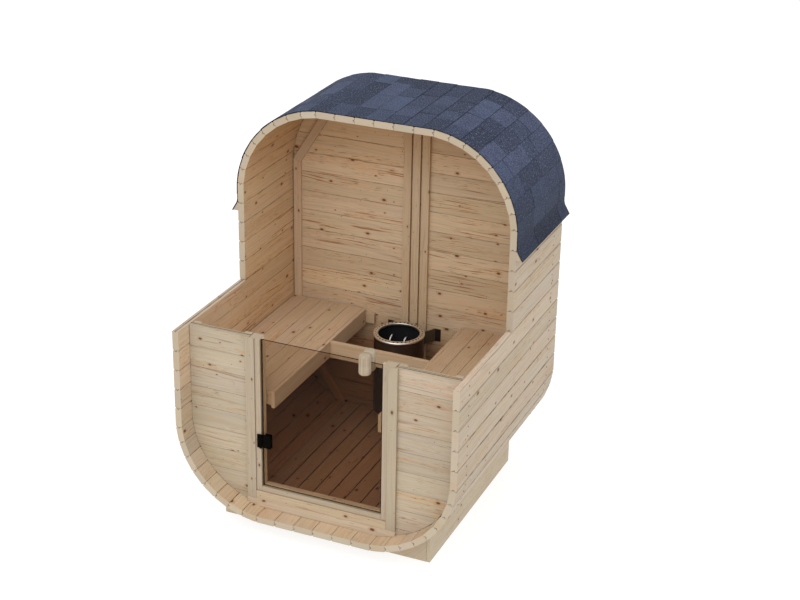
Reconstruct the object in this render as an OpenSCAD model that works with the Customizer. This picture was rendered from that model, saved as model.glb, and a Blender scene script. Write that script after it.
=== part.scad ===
// Barrel sauna with rounded corners, cut open: the front half is taken off above
// mid height, the rear half keeps its full ring of staves and its shingle roof.
// Millimetres. +Z is up, the door is on the -Y side. The origin is on the ground
// under the middle of the staves. Depths named y_ are measured from the stave ends.

/* [Shell] */
// Outer width of the ring of staves
shell_w = 1700; // [1600:10:1900]
// Outer height of the ring of staves
shell_h = 2195; // [2100:5:2400]
// Length of the staves from front to back
shell_l = 1580; // [1500:10:2200]
// Thickness of a stave
stave_t = 38; // [34:1:44]
// Outer width of one narrow stave of a rounded corner
corner_c = 95.3; // [90:0.1:100]
// Number of staves in the flat top and in the flat bottom
flat_n = 6; // [5:1:8]
// Number of staves in each straight side
side_n = 10; // [9:1:12]
// Height of the bottom staves above the ground
base_z = 99; // [80:1:140]
// Length of the tongue that enters the next stave
tongue = 6; // [4:0.5:8]
// Width of the small bevel on the edges of staves and boards
bevel = 2.5; // [1:0.5:4]

/* [Cutaway] */
// Height of the level cut through the front half
cut_z = 1191; // [1150:1:1260]
// Depth of the upright cut behind the front half
cut_y = 782; // [720:1:840]

/* [Walls] */
// Setback of the front and back walls from the stave ends
wall_in = 119; // [90:1:150]
// Thickness of the wall boards
wall_t = 38; // [32:1:42]
// Cover width of one wall board
board_c = 122.6; // [110:0.1:135]
// Distance of the last whole wall board's joint below the level cut
joint_drop = 129; // [120:1:140]
// Width of the upright battens on the inside of the walls
batten_w = 48; // [40:1:56]
// Thickness of those battens
batten_t = 21; // [16:1:26]
// Gap beside the middle batten of the back wall
batten_gap = 10; // [6:1:14]
// Length of a corner reach that the sloping battens cut off
brace_rise = 46; // [20:1:70]

/* [Doorway] */
// Clear width between the door posts
door_w = 736; // [680:2:780]
// Width of a door post
post_w = 67; // [60:1:80]
// Gap between a door post and the ends of the wall boards
post_gap = 4.5; // [3:0.5:6]
// Width of the narrow casing round the door opening
casing_w = 30; // [26:1:34]
// How far the casing stands in front of the wall
casing_t = 10; // [8:1:14]
// Width of the outer trim board
trim_w = 53; // [46:1:58]
// Thickness of the outer trim board
trim_t = 18; // [14:1:22]
// Width of the stop strip behind the edge of the glass
stop_w = 12; // [10:1:20]
// Height of the underside of the sill above the ground
sill_z0 = 190; // [180:1:205]
// Height of the sill rail itself
sill_h = 82; // [78:1:90]

/* [Door] */
// Thickness of the glass
glass_t = 8; // [6:1:10]
// Gap between the glass and the posts
glass_gap = 6; // [5:0.5:8]
// Height of the middle of the hinge above the ground
hinge_z = 564; // [480:1:640]
// Height of the hinge
hinge_h = 84; // [70:1:100]
// Length of the clamp that holds the glass
clamp_l = 53; // [46:1:70]
// Radius of the round wooden handles
handle_r = 34; // [28:1:40]
// Height of the handles
handle_h = 114; // [90:1:140]
// Height of the middle of the handles above the ground
handle_z = 1187; // [1130:1:1210]
// Distance of the middle of the handles from the door post
handle_in = 96; // [85:1:120]

/* [Inside] */
// Thickness of the floor boards
floor_t = 22; // [18:1:28]
// Height of the bearers under the floor
floor_rise = 20; // [16:1:30]
// Number of floor boards
floor_n = 9; // [6:1:10]
// Height of the bench tops above the ground
bench_z = 853; // [800:1:900]
// Distance of the bench aprons from the middle
bench_x = 314; // [280:1:340]
// Number of boards in a bench
bench_n = 5; // [4:1:6]
// Thickness of the bench boards and aprons
bench_t = 22; // [18:1:28]
// Height of an apron and of the guard rail
apron_h = 105; // [90:1:120]
// Height of a bench bearer
bearer_h = 68; // [55:1:80]
// Gap between the guard rail and the heater
rail_gap = 124; // [90:1:160]

/* [Heater] */
// Radius of the heater body
heater_r = 150; // [140:1:160]
// Gap between the heater and the middle battens of the back wall
heater_gap = 69; // [50:1:90]
// Height of the underside of the heater
heater_z0 = 345; // [300:1:400]
// Height of the top of the heater rim
heater_z1 = 849; // [820:1:880]
// Outer radius of the heater rim
rim_r = 155; // [150:1:165]
// Width of the flat face of the rim
rim_w = 30; // [24:1:36]
// Height of the rim
rim_h = 14; // [10:1:18]
// Thickness of the heater's sheet metal
sheet_t = 4; // [3:0.5:5]
// Radius of a heating rod
rod_r = 4; // [3:0.5:5]
// Radius of the bend of a heating rod
rod_bend = 34; // [26:1:40]
// Distance of the heating rods from the heater axis
rod_x = 45; // [36:1:54]
// How far the bend of a rod begins below the top of the rim
rod_drop = 60; // [45:1:80]
// Distance of the wall ends of the brackets from the middle
bracket_x = 136; // [125:1:150]
// Height of a bracket
bracket_h = 80; // [60:1:100]
// How far the underside of a bracket lies below the top of the rim
bracket_drop = 129; // [110:1:160]
// Width of the flange of a bracket on the back wall
flange_w = 40; // [30:1:50]

/* [Base] */
// Distance of the outer faces of the base boards from the middle
base_x = 641; // [600:1:680]
// Setback of the base from the stave ends, front
base_in = 172; // [140:1:200]
// Setback of the base from the stave ends, back
base_back = 147; // [120:1:200]
// Thickness of the base boards
base_t = 21; // [18:1:28]

/* [Roof] */
// Thickness of the shingles
roof_t = 4; // [3:0.5:6]
// How far below the rounded corner the shingles leave the side wall
kink_drop = 113; // [80:1:150]
// Drop of the flared eave below that height
flare_h = 63; // [50:1:80]
// How far the eave stands out from the side wall
flare_w = 35; // [25:1:45]

/* [Hidden] */
$fn = 64;
turn = 10;
corner_n = 8;
seam = 0.4;
fit = 0.5;
function csum(k) = k <= 0 ? 0 : cos(turn * k) + csum(k - 1);
reach = corner_c * csum(corner_n);
flat_l = shell_w - 2 * reach;
side_l = shell_h - 2 * reach;
flat_c = flat_l / flat_n;
side_c = side_l / side_n;
function straight(a, c, n) = [for (k = [1 : n]) [a, c]];
function bend(a) = [for (k = [1 : corner_n]) [a + turn * k, corner_c]];
staves = concat(
  straight(0, flat_c, flat_n),
  bend(0),
  straight(90, side_c, side_n),
  bend(90),
  straight(180, flat_c, flat_n),
  bend(180),
  straight(270, side_c, side_n),
  bend(270)
);
stave_n = len(staves);
i_br = flat_n;
i_right = i_br + corner_n;
i_tr = i_right + side_n;
i_top = i_tr + corner_n;
i_tl = i_top + flat_n;
i_left = i_tl + corner_n;
i_bl = i_left + side_n;
function walk(i) = i == 0
  ? [-flat_l / 2, base_z]
  : walk(i - 1) + staves[i - 1][1] * [cos(staves[i - 1][0]), sin(staves[i - 1][0])];
joint = [for (i = [0 : stave_n]) walk(i)];
function ang(i) = i < 0
  ? staves[stave_n + i][0] - 360
  : i >= stave_n ? staves[i - stave_n][0] + 360 : staves[i][0];
function mid(i) = (ang(i - 1) + ang(i)) / 2;
function half(i) = (ang(i) - ang(i - 1)) / 2;
function along(i) = [cos(mid(i)), sin(mid(i))];
function inward(i, d) = joint[i] + d / cos(half(i)) * [-sin(mid(i)), cos(mid(i))];
s = seam / 2;
function stave_outline(i) =
  let (u = [cos(ang(i)), sin(ang(i))], a = along(i), b = along(i + 1), t = stave_t)
  [
    joint[i] + (bevel + s) * u,
    joint[i + 1] - (bevel + s) * u,
    inward(i + 1, bevel) - s * b,
    inward(i + 1, t * 0.36) - s * b,
    inward(i + 1, t * 0.42) + (tongue - s) * b,
    inward(i + 1, t * 0.58) + (tongue - s) * b,
    inward(i + 1, t * 0.64) - s * b,
    inward(i + 1, t - bevel) - s * b,
    inward(i + 1, t) - (bevel + s) * u,
    inward(i, t) + (bevel + s) * u,
    inward(i, t - bevel) + s * a,
    inward(i, t * 0.64) + s * a,
    inward(i, t * 0.58) + (tongue + s) * a,
    inward(i, t * 0.42) + (tongue + s) * a,
    inward(i, t * 0.36) + s * a,
    inward(i, bevel) + s * a
  ];
inside = [for (i = [0 : stave_n - 1]) inward(i, stave_t + fit)];
outside = [for (i = [0 : stave_n - 1]) inward(i, -fit)];
y0 = -shell_l / 2;
in_x = shell_w / 2 - stave_t - fit;
in_z0 = base_z + stave_t + fit;
in_z1 = base_z + shell_h - stave_t - fit;
y_f0 = wall_in;
y_f1 = y_f0 + wall_t;
y_fb = y_f1 + batten_t;
y_b1 = shell_l - wall_in;
y_b0 = y_b1 - wall_t;
y_bb = y_b0 - batten_t;
wall_x = door_w / 2 + post_w + post_gap;
joint_z = cut_z - joint_drop;
first_z = joint_z - board_c * floor((joint_z - in_z0) / board_c);
floor_z = in_z0 + floor_rise + floor_t;
glass_y0 = y_f0 - 2;
glass_y1 = glass_y0 + glass_t;
glass_x = door_w / 2 - glass_gap;
glass_z0 = sill_z0 + sill_h + 7;
pivot_x = -door_w / 2 + 2;
pivot_y = y_f0 - casing_t - 9;
knuckle_r = 7;
end_x = in_x - 6;
bench_x0 = bench_x + bench_t;
bench_pitch = (in_x - 5 - bench_x0) / bench_n;
apron_z0 = bench_z - apron_h;
bearer_z1 = bench_z - bench_t;
bearer_z0 = bearer_z1 - bearer_h;
low_bend = base_z + reach + brace_rise;
high_bend = base_z + shell_h - reach - brace_rise;
brace_a = 58;
trim_x = door_w / 2 + casing_w + 5;
handle_x = door_w / 2 - handle_in;
heater_y = y_bb - heater_gap - heater_r;
rail_y = heater_y - heater_r - rail_gap - bench_t;
rim_z = heater_z1 - rim_h;
kink_z = base_z + shell_h - reach - kink_drop;
casing_z = sill_z0 + sill_h - casing_w;

// A profile drawn in X and Z, run from depth ya to depth yb
module run(ya, yb) {
  translate([0, y0 + yb, 0])
    rotate([90, 0, 0])
      linear_extrude(height = yb - ya)
        children();
}

// A box from one corner to the other, depths measured from the stave ends
module block(x0, x1, ya, yb, z0, z1) {
  translate([x0, y0 + ya, z0])
    cube([x1 - x0, yb - ya, z1 - z0]);
}

// The same piece on the left and on the right
module both() {
  children();
  mirror([1, 0, 0])
    children();
}

// What lies inside the ring of staves
module inside_ring(ya, yb) {
  run(ya, yb)
    polygon(inside);
}

// Staves from number a to number b at full length or behind the cut only
module stave_group(a, b, ya) {
  for (i = [a : b])
    run(ya, shell_l)
      polygon(stave_outline(i));
}

// One straight side below the cut, with the front of its top stave cut level
module side_low(a) {
  for (i = [a : a + side_n - 1]) {
    low = min(joint[i][1], joint[i + 1][1]);
    high = max(joint[i][1], joint[i + 1][1]);
    if (high + tongue < cut_z)
      run(0, shell_l)
        polygon(stave_outline(i));
    else if (low + 1 < cut_z)
      difference() {
        run(0, shell_l)
          polygon(stave_outline(i));
        block(-shell_w, shell_w, -10, cut_y, cut_z, cut_z + shell_h);
      }
  }
}

// One straight side above the cut, behind the cut plane
module side_high(a) {
  for (i = [a : a + side_n - 1])
    if (min(joint[i][1], joint[i + 1][1]) + 1 >= cut_z)
      run(cut_y, shell_l)
        polygon(stave_outline(i));
}

module bottom_staves() {
  color("burlywood")
    stave_group(0, flat_n - 1, 0);
}

module bottom_corner_left() {
  color("burlywood")
    stave_group(i_bl, i_bl + corner_n - 1, 0);
}

module bottom_corner_right() {
  color("burlywood")
    stave_group(i_br, i_br + corner_n - 1, 0);
}

module side_left_low() {
  color("burlywood")
    side_low(i_left);
}

module side_right_low() {
  color("burlywood")
    side_low(i_right);
}

module side_left_high() {
  color("burlywood")
    side_high(i_left);
}

module side_right_high() {
  color("burlywood")
    side_high(i_right);
}

module top_corner_left() {
  color("burlywood")
    stave_group(i_tl, i_tl + corner_n - 1, cut_y);
}

module top_corner_right() {
  color("burlywood")
    stave_group(i_tr, i_tr + corner_n - 1, cut_y);
}

module top_staves() {
  color("burlywood")
    stave_group(i_top, i_top + flat_n - 1, cut_y);
}

// One strip of shingles on the outer face of a corner stave
module shingle_strip(i) {
  a = along(i) * s;
  b = along(i + 1) * s;
  run(cut_y, shell_l)
    polygon([inward(i, -fit) + a, inward(i, -fit - roof_t) + a,
      inward(i + 1, -fit - roof_t) - b, inward(i + 1, -fit) - b]);
}

// The right half of the lower roof edge: a short upright strip and the flared eave
module shingle_eave() {
  x = shell_w / 2 + fit;
  top = joint[i_tr][1];
  run(cut_y, shell_l)
    polygon([[x, kink_z + s], [x + roof_t, kink_z + s], inward(i_tr, -fit - roof_t) - [0, s],
      inward(i_tr, -fit) - [0, s]]);
  run(cut_y, shell_l)
    polygon([[x, kink_z - s], [x + flare_w, kink_z - flare_h],
      [x + flare_w + roof_t, kink_z - flare_h], [x + roof_t, kink_z - s]]);
}

module roof_shingles() {
  color("slategray") {
    for (i = [i_tr : i_top - 1])
      shingle_strip(i);
    for (i = [i_tl : i_left - 1])
      shingle_strip(i);
    run(cut_y, shell_l)
      polygon([inward(i_top, -fit) - [s, 0], inward(i_top, -fit - roof_t) - [s, 0],
        inward(i_tl, -fit - roof_t) + [s, 0], inward(i_tl, -fit) + [s, 0]]);
    both()
      shingle_eave();
  }
}

module eave_battens() {
  x = shell_w / 2 + fit;
  color("burlywood")
    both()
      run(cut_y, shell_l)
        polygon([[x, kink_z - 4], [x, kink_z - flare_h + 4],
          [x + flare_w - 4, kink_z - flare_h + 4]]);
}

// A level wall board between two heights, bevelled along its long edges
module wall_board(x0, x1, ya, yb, z0, z1, top_bevel) {
  c = bevel;
  d = top_bevel;
  a = y0 + ya;
  b = y0 + yb;
  intersection() {
    inside_ring(ya - 5, yb + 5);
    translate([x0, 0, 0])
      rotate([90, 0, 90])
        linear_extrude(height = x1 - x0)
          polygon([[a + c, z0 + s], [b - c, z0 + s], [b, z0 + s + c], [b, z1 - s - d],
            [b - d, z1 - s], [a + d, z1 - s], [a, z1 - s - d], [a, z0 + s + c]]);
  }
}

// All the boards of one wall field, from the staves below up to height top
module wall_field(x0, x1, ya, yb, top) {
  rows = ceil((top - first_z) / board_c);
  wall_board(x0, x1, ya, yb, in_z0 - 5, first_z, bevel);
  for (k = [0 : rows - 1]) {
    z0 = first_z + k * board_c;
    z1 = z0 + board_c;
    if (top - z0 > 8)
      wall_board(x0, x1, ya, yb, z0, min(z1, top), z1 > top ? 0.01 : bevel);
  }
}

module front_wall_left() {
  color("burlywood")
    wall_field(-shell_w / 2, -wall_x, y_f0, y_f1, cut_z);
}

module front_wall_right() {
  color("burlywood")
    wall_field(wall_x, shell_w / 2, y_f0, y_f1, cut_z);
}

// The board under the trims and the piece of wall behind it
module sill_board() {
  x = door_w / 2 - fit;
  e = trim_x + trim_w;
  color("burlywood")
    intersection() {
      inside_ring(0, y_f1);
      union() {
        block(-e, e, y_f0 - trim_t, y_f0 - fit, 0, sill_z0 - fit);
        block(-x, x, y_f0, y_f1, 0, sill_z0 - fit);
      }
    }
}

module front_battens() {
  color("tan")
    both()
      intersection() {
        inside_ring(y_f1 + fit, y_fb);
        union() {
          block(wall_x, wall_x + batten_w, y_f1, y_fb, 0, cut_z);
          block(end_x - batten_w, end_x, y_f1, y_fb, 0, cut_z);
        }
      }
}

module door_posts() {
  color("burlywood")
    both()
      intersection() {
        inside_ring(y_f0, y_fb);
        block(door_w / 2, door_w / 2 + post_w, y_f0 + fit, y_fb, 0, cut_z);
      }
}

module door_casings() {
  x = door_w / 2;
  ya = y_f0 - casing_t;
  color("burlywood") {
    both()
      block(x, x + casing_w, ya, y_f0, casing_z, cut_z);
    block(-x + fit, x - fit, ya, y_f0, casing_z, sill_z0 + sill_h);
  }
}

module door_trims() {
  x = trim_x;
  ya = y_f0 - trim_t;
  yb = y_f0 - fit;
  color("burlywood") {
    both()
      block(x, x + trim_w, ya, yb, sill_z0, cut_z);
    block(-x + fit, x - fit, ya, yb, sill_z0, casing_z - 2);
  }
}

module door_stops() {
  x = door_w / 2;
  ya = glass_y1 + 5;
  z = sill_z0 + sill_h + fit;
  color("peru") {
    both()
      block(x - stop_w, x - fit, ya, y_f1, z, cut_z);
    block(-x + stop_w + fit, x - stop_w - fit, ya, y_f1, z, z + stop_w);
  }
}

module door_sill() {
  x = door_w / 2 - fit;
  color("burlywood")
    block(-x, x, y_f0 + fit, y_fb, sill_z0, sill_z0 + sill_h);
}

module door_glass() {
  color([0.35, 0.25, 0.18, 0.5])
    block(-glass_x, glass_x, glass_y0, glass_y1, glass_z0, cut_z);
}

// The black clamp that grips the glass, with the middle knuckle of the hinge
module hinge_clamp() {
  x0 = pivot_x + 5;
  z0 = hinge_z - hinge_h / 2;
  third = hinge_h / 3;
  color("black") {
    difference() {
      union() {
        block(x0, x0 + clamp_l, glass_y0 - 13, glass_y0 - fit, z0, z0 + hinge_h);
        block(pivot_x, x0 + 5, glass_y0 - 13, glass_y0 - 8, z0 + third + 1, z0 + 2 * third - 1);
        translate([pivot_x, y0 + pivot_y, z0 + third + 1])
          cylinder(r = knuckle_r, h = third - 2);
      }
      translate([pivot_x, y0 + pivot_y, z0 - 1])
        cylinder(r = 3.3, h = hinge_h + 2);
      for (z = [z0 - 1, z0 + 2 * third - 1])
        translate([pivot_x, y0 + pivot_y, z])
          cylinder(r = knuckle_r + 1.5, h = third + 2);
    }
    block(-door_w / 2 + stop_w + 6, x0 + clamp_l, glass_y1 + fit, glass_y1 + 9, z0, z0 + hinge_h);
  }
}

// The leaf on the casing with the upper and lower knuckles
module hinge_leaf() {
  z0 = hinge_z - hinge_h / 2;
  third = hinge_h / 3;
  color("black")
    difference() {
      union() {
        block(pivot_x - 24, pivot_x - 6, y_f0 - casing_t - 9, y_f0 - casing_t - fit, z0, z0 + hinge_h);
        for (z = [z0, z0 + 2 * third]) {
          block(pivot_x - 8, pivot_x, y_f0 - casing_t - 9, y_f0 - casing_t - 5, z, z + third);
          translate([pivot_x, y0 + pivot_y, z])
            cylinder(r = knuckle_r, h = third);
        }
      }
      translate([pivot_x, y0 + pivot_y, z0 - 1])
        cylinder(r = 3.3, h = hinge_h + 2);
      translate([pivot_x, y0 + pivot_y, z0 + third])
        cylinder(r = knuckle_r + 3, h = third);
    }
}

module hinge_pin() {
  color("dimgray")
    translate([pivot_x, y0 + pivot_y, hinge_z - hinge_h / 2])
      cylinder(r = 3, h = hinge_h);
}

// A short round handle with a flat back against the glass
module handle(ya, side) {
  flat = handle_r * 0.78;
  translate([handle_x, y0 + ya + side * flat, handle_z - handle_h / 2])
    difference() {
      cylinder(r = handle_r, h = handle_h);
      translate([-handle_r, side > 0 ? -flat - handle_r : flat - fit, -1])
        cube([2 * handle_r, handle_r + fit, handle_h + 2]);
    }
}

module handle_outer() {
  color("wheat")
    handle(glass_y0, -1);
}

module handle_inner() {
  color("wheat")
    handle(glass_y1, 1);
}

module back_wall_left() {
  color("burlywood")
    wall_field(-shell_w / 2, -s, y_b0, y_b1, in_z1 + 2);
}

module back_wall_right() {
  color("burlywood")
    wall_field(s, shell_w / 2, y_b0, y_b1, in_z1 + 2);
}

module back_middle_battens() {
  p = batten_w + batten_gap;
  color("tan")
    for (k = [-1 : 1])
      block(k * p - batten_w / 2, k * p + batten_w / 2, y_bb, y_b0 - fit, floor_z + 1, in_z1 - 1);
}

module back_corner_battens() {
  d = batten_w * tan((90 - brace_a) / 2);
  color("tan")
    both()
      run(y_bb, y_b0 - fit)
        polygon([[end_x, low_bend + s], [end_x, high_bend - s],
          [end_x - batten_w, high_bend - d - s], [end_x - batten_w, low_bend + d + s]]);
}

// One sloping batten that continues an upright batten towards the ceiling
module brace() {
  d = batten_w * tan((90 - brace_a) / 2);
  l = reach + 4 * batten_w;
  intersection() {
    inside_ring(y_bb - 5, y_b1);
    run(y_bb, y_b0 - fit)
      polygon([[end_x, high_bend + s], [end_x - l * cos(brace_a), high_bend + l * sin(brace_a)],
        [end_x - batten_w - l * cos(brace_a), high_bend - d + l * sin(brace_a)],
        [end_x - batten_w, high_bend - d + s]]);
  }
}

module back_braces() {
  m = 2 * base_z + shell_h;
  color("tan")
    both() {
      brace();
      intersection() {
        translate([0, 0, m])
          mirror([0, 0, 1])
            brace();
        block(0, shell_w, y_bb - 5, y_b1, floor_z + 1, shell_h);
      }
    }
}

module floor_boards() {
  x = flat_l / 2 + corner_c * cos(turn) - 2;
  p = 2 * x / floor_n;
  color("burlywood")
    for (k = [0 : floor_n - 1])
      block(-x + k * p + 1, -x + (k + 1) * p - 1, y_fb + 1, y_bb - 2, floor_z - floor_t, floor_z);
}

module floor_bearers() {
  x = flat_l / 2 - 8;
  color("tan")
    for (k = [0 : 2])
      translate([0, k * (y_bb - y_fb - 120) / 2, 0])
        block(-x, x, y_fb + 30, y_fb + 90, in_z0, floor_z - floor_t - fit);
}

module bench_boards() {
  color("burlywood")
    both()
      for (k = [0 : bench_n - 1])
        block(bench_x0 + k * bench_pitch + 1.5, bench_x0 + (k + 1) * bench_pitch - 1.5,
          y_fb + 1, y_bb - 0.5, bearer_z1, bench_z);
}

module bench_aprons() {
  color("burlywood")
    both()
      block(bench_x, bench_x0, y_fb - 3, y_b0 - 29, apron_z0, bench_z);
}

module bench_bearers() {
  color("tan")
    both() {
      block(bench_x0 + fit, end_x, y_fb + 1, y_fb + 29, bearer_z0, bearer_z1 - fit);
      block(bench_x - 57, end_x - batten_w - 2, y_b0 - 28, y_b0 - fit, bearer_z0, bearer_z1 - fit);
    }
}

module guard_rail() {
  color("burlywood")
    block(-bench_x + fit, bench_x - fit, rail_y, rail_y + bench_t, apron_z0, bench_z);
}

module heater_body() {
  h = rim_z - heater_z0;
  color("dimgray")
    translate([0, y0 + heater_y, heater_z0])
      difference() {
        cylinder(r = heater_r, h = h);
        translate([0, 0, sheet_t])
          cylinder(r = heater_r - sheet_t, h = h);
      }
}

module heater_rim() {
  color("silver")
    translate([0, y0 + heater_y, rim_z + fit])
      difference() {
        cylinder(r = rim_r, h = rim_h - fit);
        translate([0, 0, -1])
          cylinder(r = rim_r - rim_w, h = rim_h + 2);
      }
}

// Two bent heating rods that stand on the heater floor
module heater_elements() {
  r = rod_r;
  b = rod_bend;
  top = heater_z1 - rod_drop;
  foot = heater_z0 + sheet_t + fit;
  color("gray")
    for (x = [-rod_x, rod_x])
      translate([x, y0 + heater_y, top]) {
        rotate([90, 0, 90])
          rotate_extrude(angle = 180)
            translate([b, 0, 0])
              circle(r = r);
        for (y = [-b, b])
          translate([0, y, foot - top])
            cylinder(r = r, h = top - foot);
      }
}

// Two bent plates that carry the heater on the back wall
module heater_brackets() {
  x1 = bracket_x;
  x2 = bracket_x + flange_w - 2;
  y1 = y_b0 - fit;
  g = atan2(x1, y1 - heater_y);
  sx = (heater_r + fit) * sin(g);
  sy = heater_y + (heater_r + fit) * cos(g);
  color("dimgray")
    both()
      translate([0, y0, heater_z1 - bracket_drop])
        linear_extrude(height = bracket_h)
          polygon([[sx, sy], [sx + sheet_t + 1, sy - 1], [x1 + 3, y1 - sheet_t], [x2, y1 - sheet_t],
            [x2, y1], [x1 - 2, y1]]);
}

module base_sides() {
  color("burlywood")
    both()
      difference() {
        block(base_x - base_t, base_x, base_in, shell_l - base_back, 0, base_z + reach);
        run(0, shell_l)
          polygon(outside);
      }
}

module base_cross() {
  x = base_x - base_t - fit;
  color("burlywood")
    for (y = [base_in, shell_l - base_back - base_t])
      difference() {
        block(-x, x, y, y + base_t, 0, base_z + reach);
        run(0, shell_l)
          polygon(outside);
        block(-shell_w, shell_w, y - 5, y + base_t + 5, base_z + reach * 0.32, base_z + reach + 5);
      }
}

bottom_staves();
bottom_corner_left();
bottom_corner_right();
side_left_low();
side_right_low();
side_left_high();
side_right_high();
top_corner_left();
top_corner_right();
top_staves();
roof_shingles();
eave_battens();
front_wall_left();
front_wall_right();
sill_board();
front_battens();
door_posts();
door_casings();
door_trims();
door_stops();
door_sill();
door_glass();
hinge_clamp();
handle_outer();
handle_inner();
hinge_leaf();
hinge_pin();
back_wall_left();
back_wall_right();
back_middle_battens();
back_corner_battens();
back_braces();
floor_boards();
floor_bearers();
bench_boards();
bench_aprons();
bench_bearers();
guard_rail();
heater_body();
heater_rim();
heater_elements();
heater_brackets();
base_sides();
base_cross();
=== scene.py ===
# %% [markdown]
# # A barrel sauna, cut open
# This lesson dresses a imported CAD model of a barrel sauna. The CAD solids stay in
# place as a fixed frame in metres. Boards, shingles and metal parts are then worked
# out again with numpy, because a board with its own grain line and its own tone looks
# like wood, and a bare solid does not.

import copy
import math
from functools import partialmethod

import bmesh
import bpy
import numpy as np
from mathutils import Matrix, Vector


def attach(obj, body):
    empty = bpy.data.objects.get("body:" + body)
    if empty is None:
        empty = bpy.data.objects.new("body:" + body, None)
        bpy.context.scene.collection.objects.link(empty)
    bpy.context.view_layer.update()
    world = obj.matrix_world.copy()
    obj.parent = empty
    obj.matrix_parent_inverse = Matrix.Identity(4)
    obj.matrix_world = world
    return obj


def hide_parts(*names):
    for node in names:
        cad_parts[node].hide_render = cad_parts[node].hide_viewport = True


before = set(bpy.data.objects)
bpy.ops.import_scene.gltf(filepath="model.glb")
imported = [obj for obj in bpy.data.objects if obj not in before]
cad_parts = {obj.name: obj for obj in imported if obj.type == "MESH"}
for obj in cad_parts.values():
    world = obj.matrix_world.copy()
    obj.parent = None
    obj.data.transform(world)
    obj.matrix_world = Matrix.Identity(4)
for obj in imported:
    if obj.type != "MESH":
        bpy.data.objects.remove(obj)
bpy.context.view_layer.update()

# %% [markdown]
# ## Camera
# The picture was taken from above the right front corner. Eye point, direction, a
# slight roll and the focal length were worked out from the joints of the boards. The
# three axes of the camera are written straight into its matrix, so no tracking
# constraint has to find them.

# %% Camera
IMAGE_W = 800
FOCAL_PX = 1723.2
SENSOR_MM = 36.0
EYE = Vector((3.6312, -8.1544, 5.2700))
AZIMUTH, ELEVATION, ROLL = (math.radians(a) for a in (23.0, 24.38, -1.08))

back = Vector(
    (
        math.sin(AZIMUTH) * math.cos(ELEVATION),
        -math.cos(AZIMUTH) * math.cos(ELEVATION),
        math.sin(ELEVATION),
    )
)
level = Vector((math.cos(AZIMUTH), math.sin(AZIMUTH), 0))
upright = back.cross(level)
side_axis = level * math.cos(ROLL) - upright * math.sin(ROLL)
up_axis = level * math.sin(ROLL) + upright * math.cos(ROLL)
lens = bpy.data.cameras.new("camera")
lens.sensor_fit = "HORIZONTAL"
lens.sensor_width = SENSOR_MM
lens.lens = FOCAL_PX / IMAGE_W * SENSOR_MM
camera = bpy.data.objects.new("camera", lens)
camera.matrix_world = Matrix(
    [(side_axis[i], up_axis[i], back[i], EYE[i]) for i in range(3)] + [(0, 0, 0, 1)]
)
bpy.context.scene.collection.objects.link(camera)
bpy.context.scene.camera = camera
print("camera: lens", round(lens.lens, 2), "mm")

# %% [markdown]
# ## Meshes from arrays
# Every wooden part here is a profile carried along a path. One array holds all boards
# of a group: board, ring along the board, corner of the ring, and x, y, z. Sizes are in
# millimetres, with the depth counted from the front ends of the staves, because that is
# how a joiner would note them. Each face remembers its board, whether it is a sawn end
# and whether it lies in a groove, and the map called grain runs along the board, so
# one wood material can follow every board.

# %% Boards from rings
X, Y, Z = 0, 1, 2
MM, FRONT_Y, WELD = 0.001, -790.0, 2e-6
FACE_MARKS = ("board", "end", "groove", "indoor")
OFF_GRAIN = (0.3, 0.5, 0.81)  # a direction that no board follows
dice = np.random.default_rng(20)


def to_metres(points):
    """Millimetres with the depth from the stave ends become metres of the frame."""
    return (points + np.array([0.0, FRONT_Y, 0.0])) * MM


def lifted(flat, third, axis):
    """Points from two flat coordinates and the third one, which goes in at its axis."""
    return np.insert(flat, axis, np.broadcast_to(third, flat.shape[:-1]), axis=-1)


def ring_faces(rings, first):
    """Side face j of board b is the quad between corners j and j + 1 of two rings
    that follow each other. The first and the last ring are closed by one face each."""
    b, k, m, _ = rings.shape
    number = first + np.arange(b * k * m).reshape(b, k, m)
    beside = np.roll(number, -1, axis=2)
    sides = np.stack(
        [number[:, :-1], beside[:, :-1], beside[:, 1:], number[:, 1:]], axis=-1
    )
    return sides, number[:, 0, ::-1], number[:, -1]


def grain_map(rings, axis):
    """u is the distance along the grain, v the distance walked round the ring. On a
    sawn end the two flat directions across the grain take their place."""
    u = rings @ axis
    step = np.roll(rings, -1, axis=2) - rings
    step = step - (step @ axis)[..., None] * axis
    walked = np.cumsum(np.linalg.norm(step, axis=-1), axis=2)
    start = np.concatenate([np.zeros_like(walked[..., :1]), walked[..., :-1]], axis=2)
    here = np.stack([u, start], axis=-1)
    there = np.stack([np.roll(u, -1, axis=2), walked], axis=-1)
    sides = np.stack([here[:, :-1], there[:, :-1], there[:, 1:], here[:, 1:]], axis=-2)
    across = np.cross(axis, OFF_GRAIN)
    across /= np.linalg.norm(across)
    flat = np.stack([rings @ across, rings @ np.cross(axis, across)], axis=-1)
    return sides, flat[:, 0, ::-1], flat[:, -1]


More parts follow.
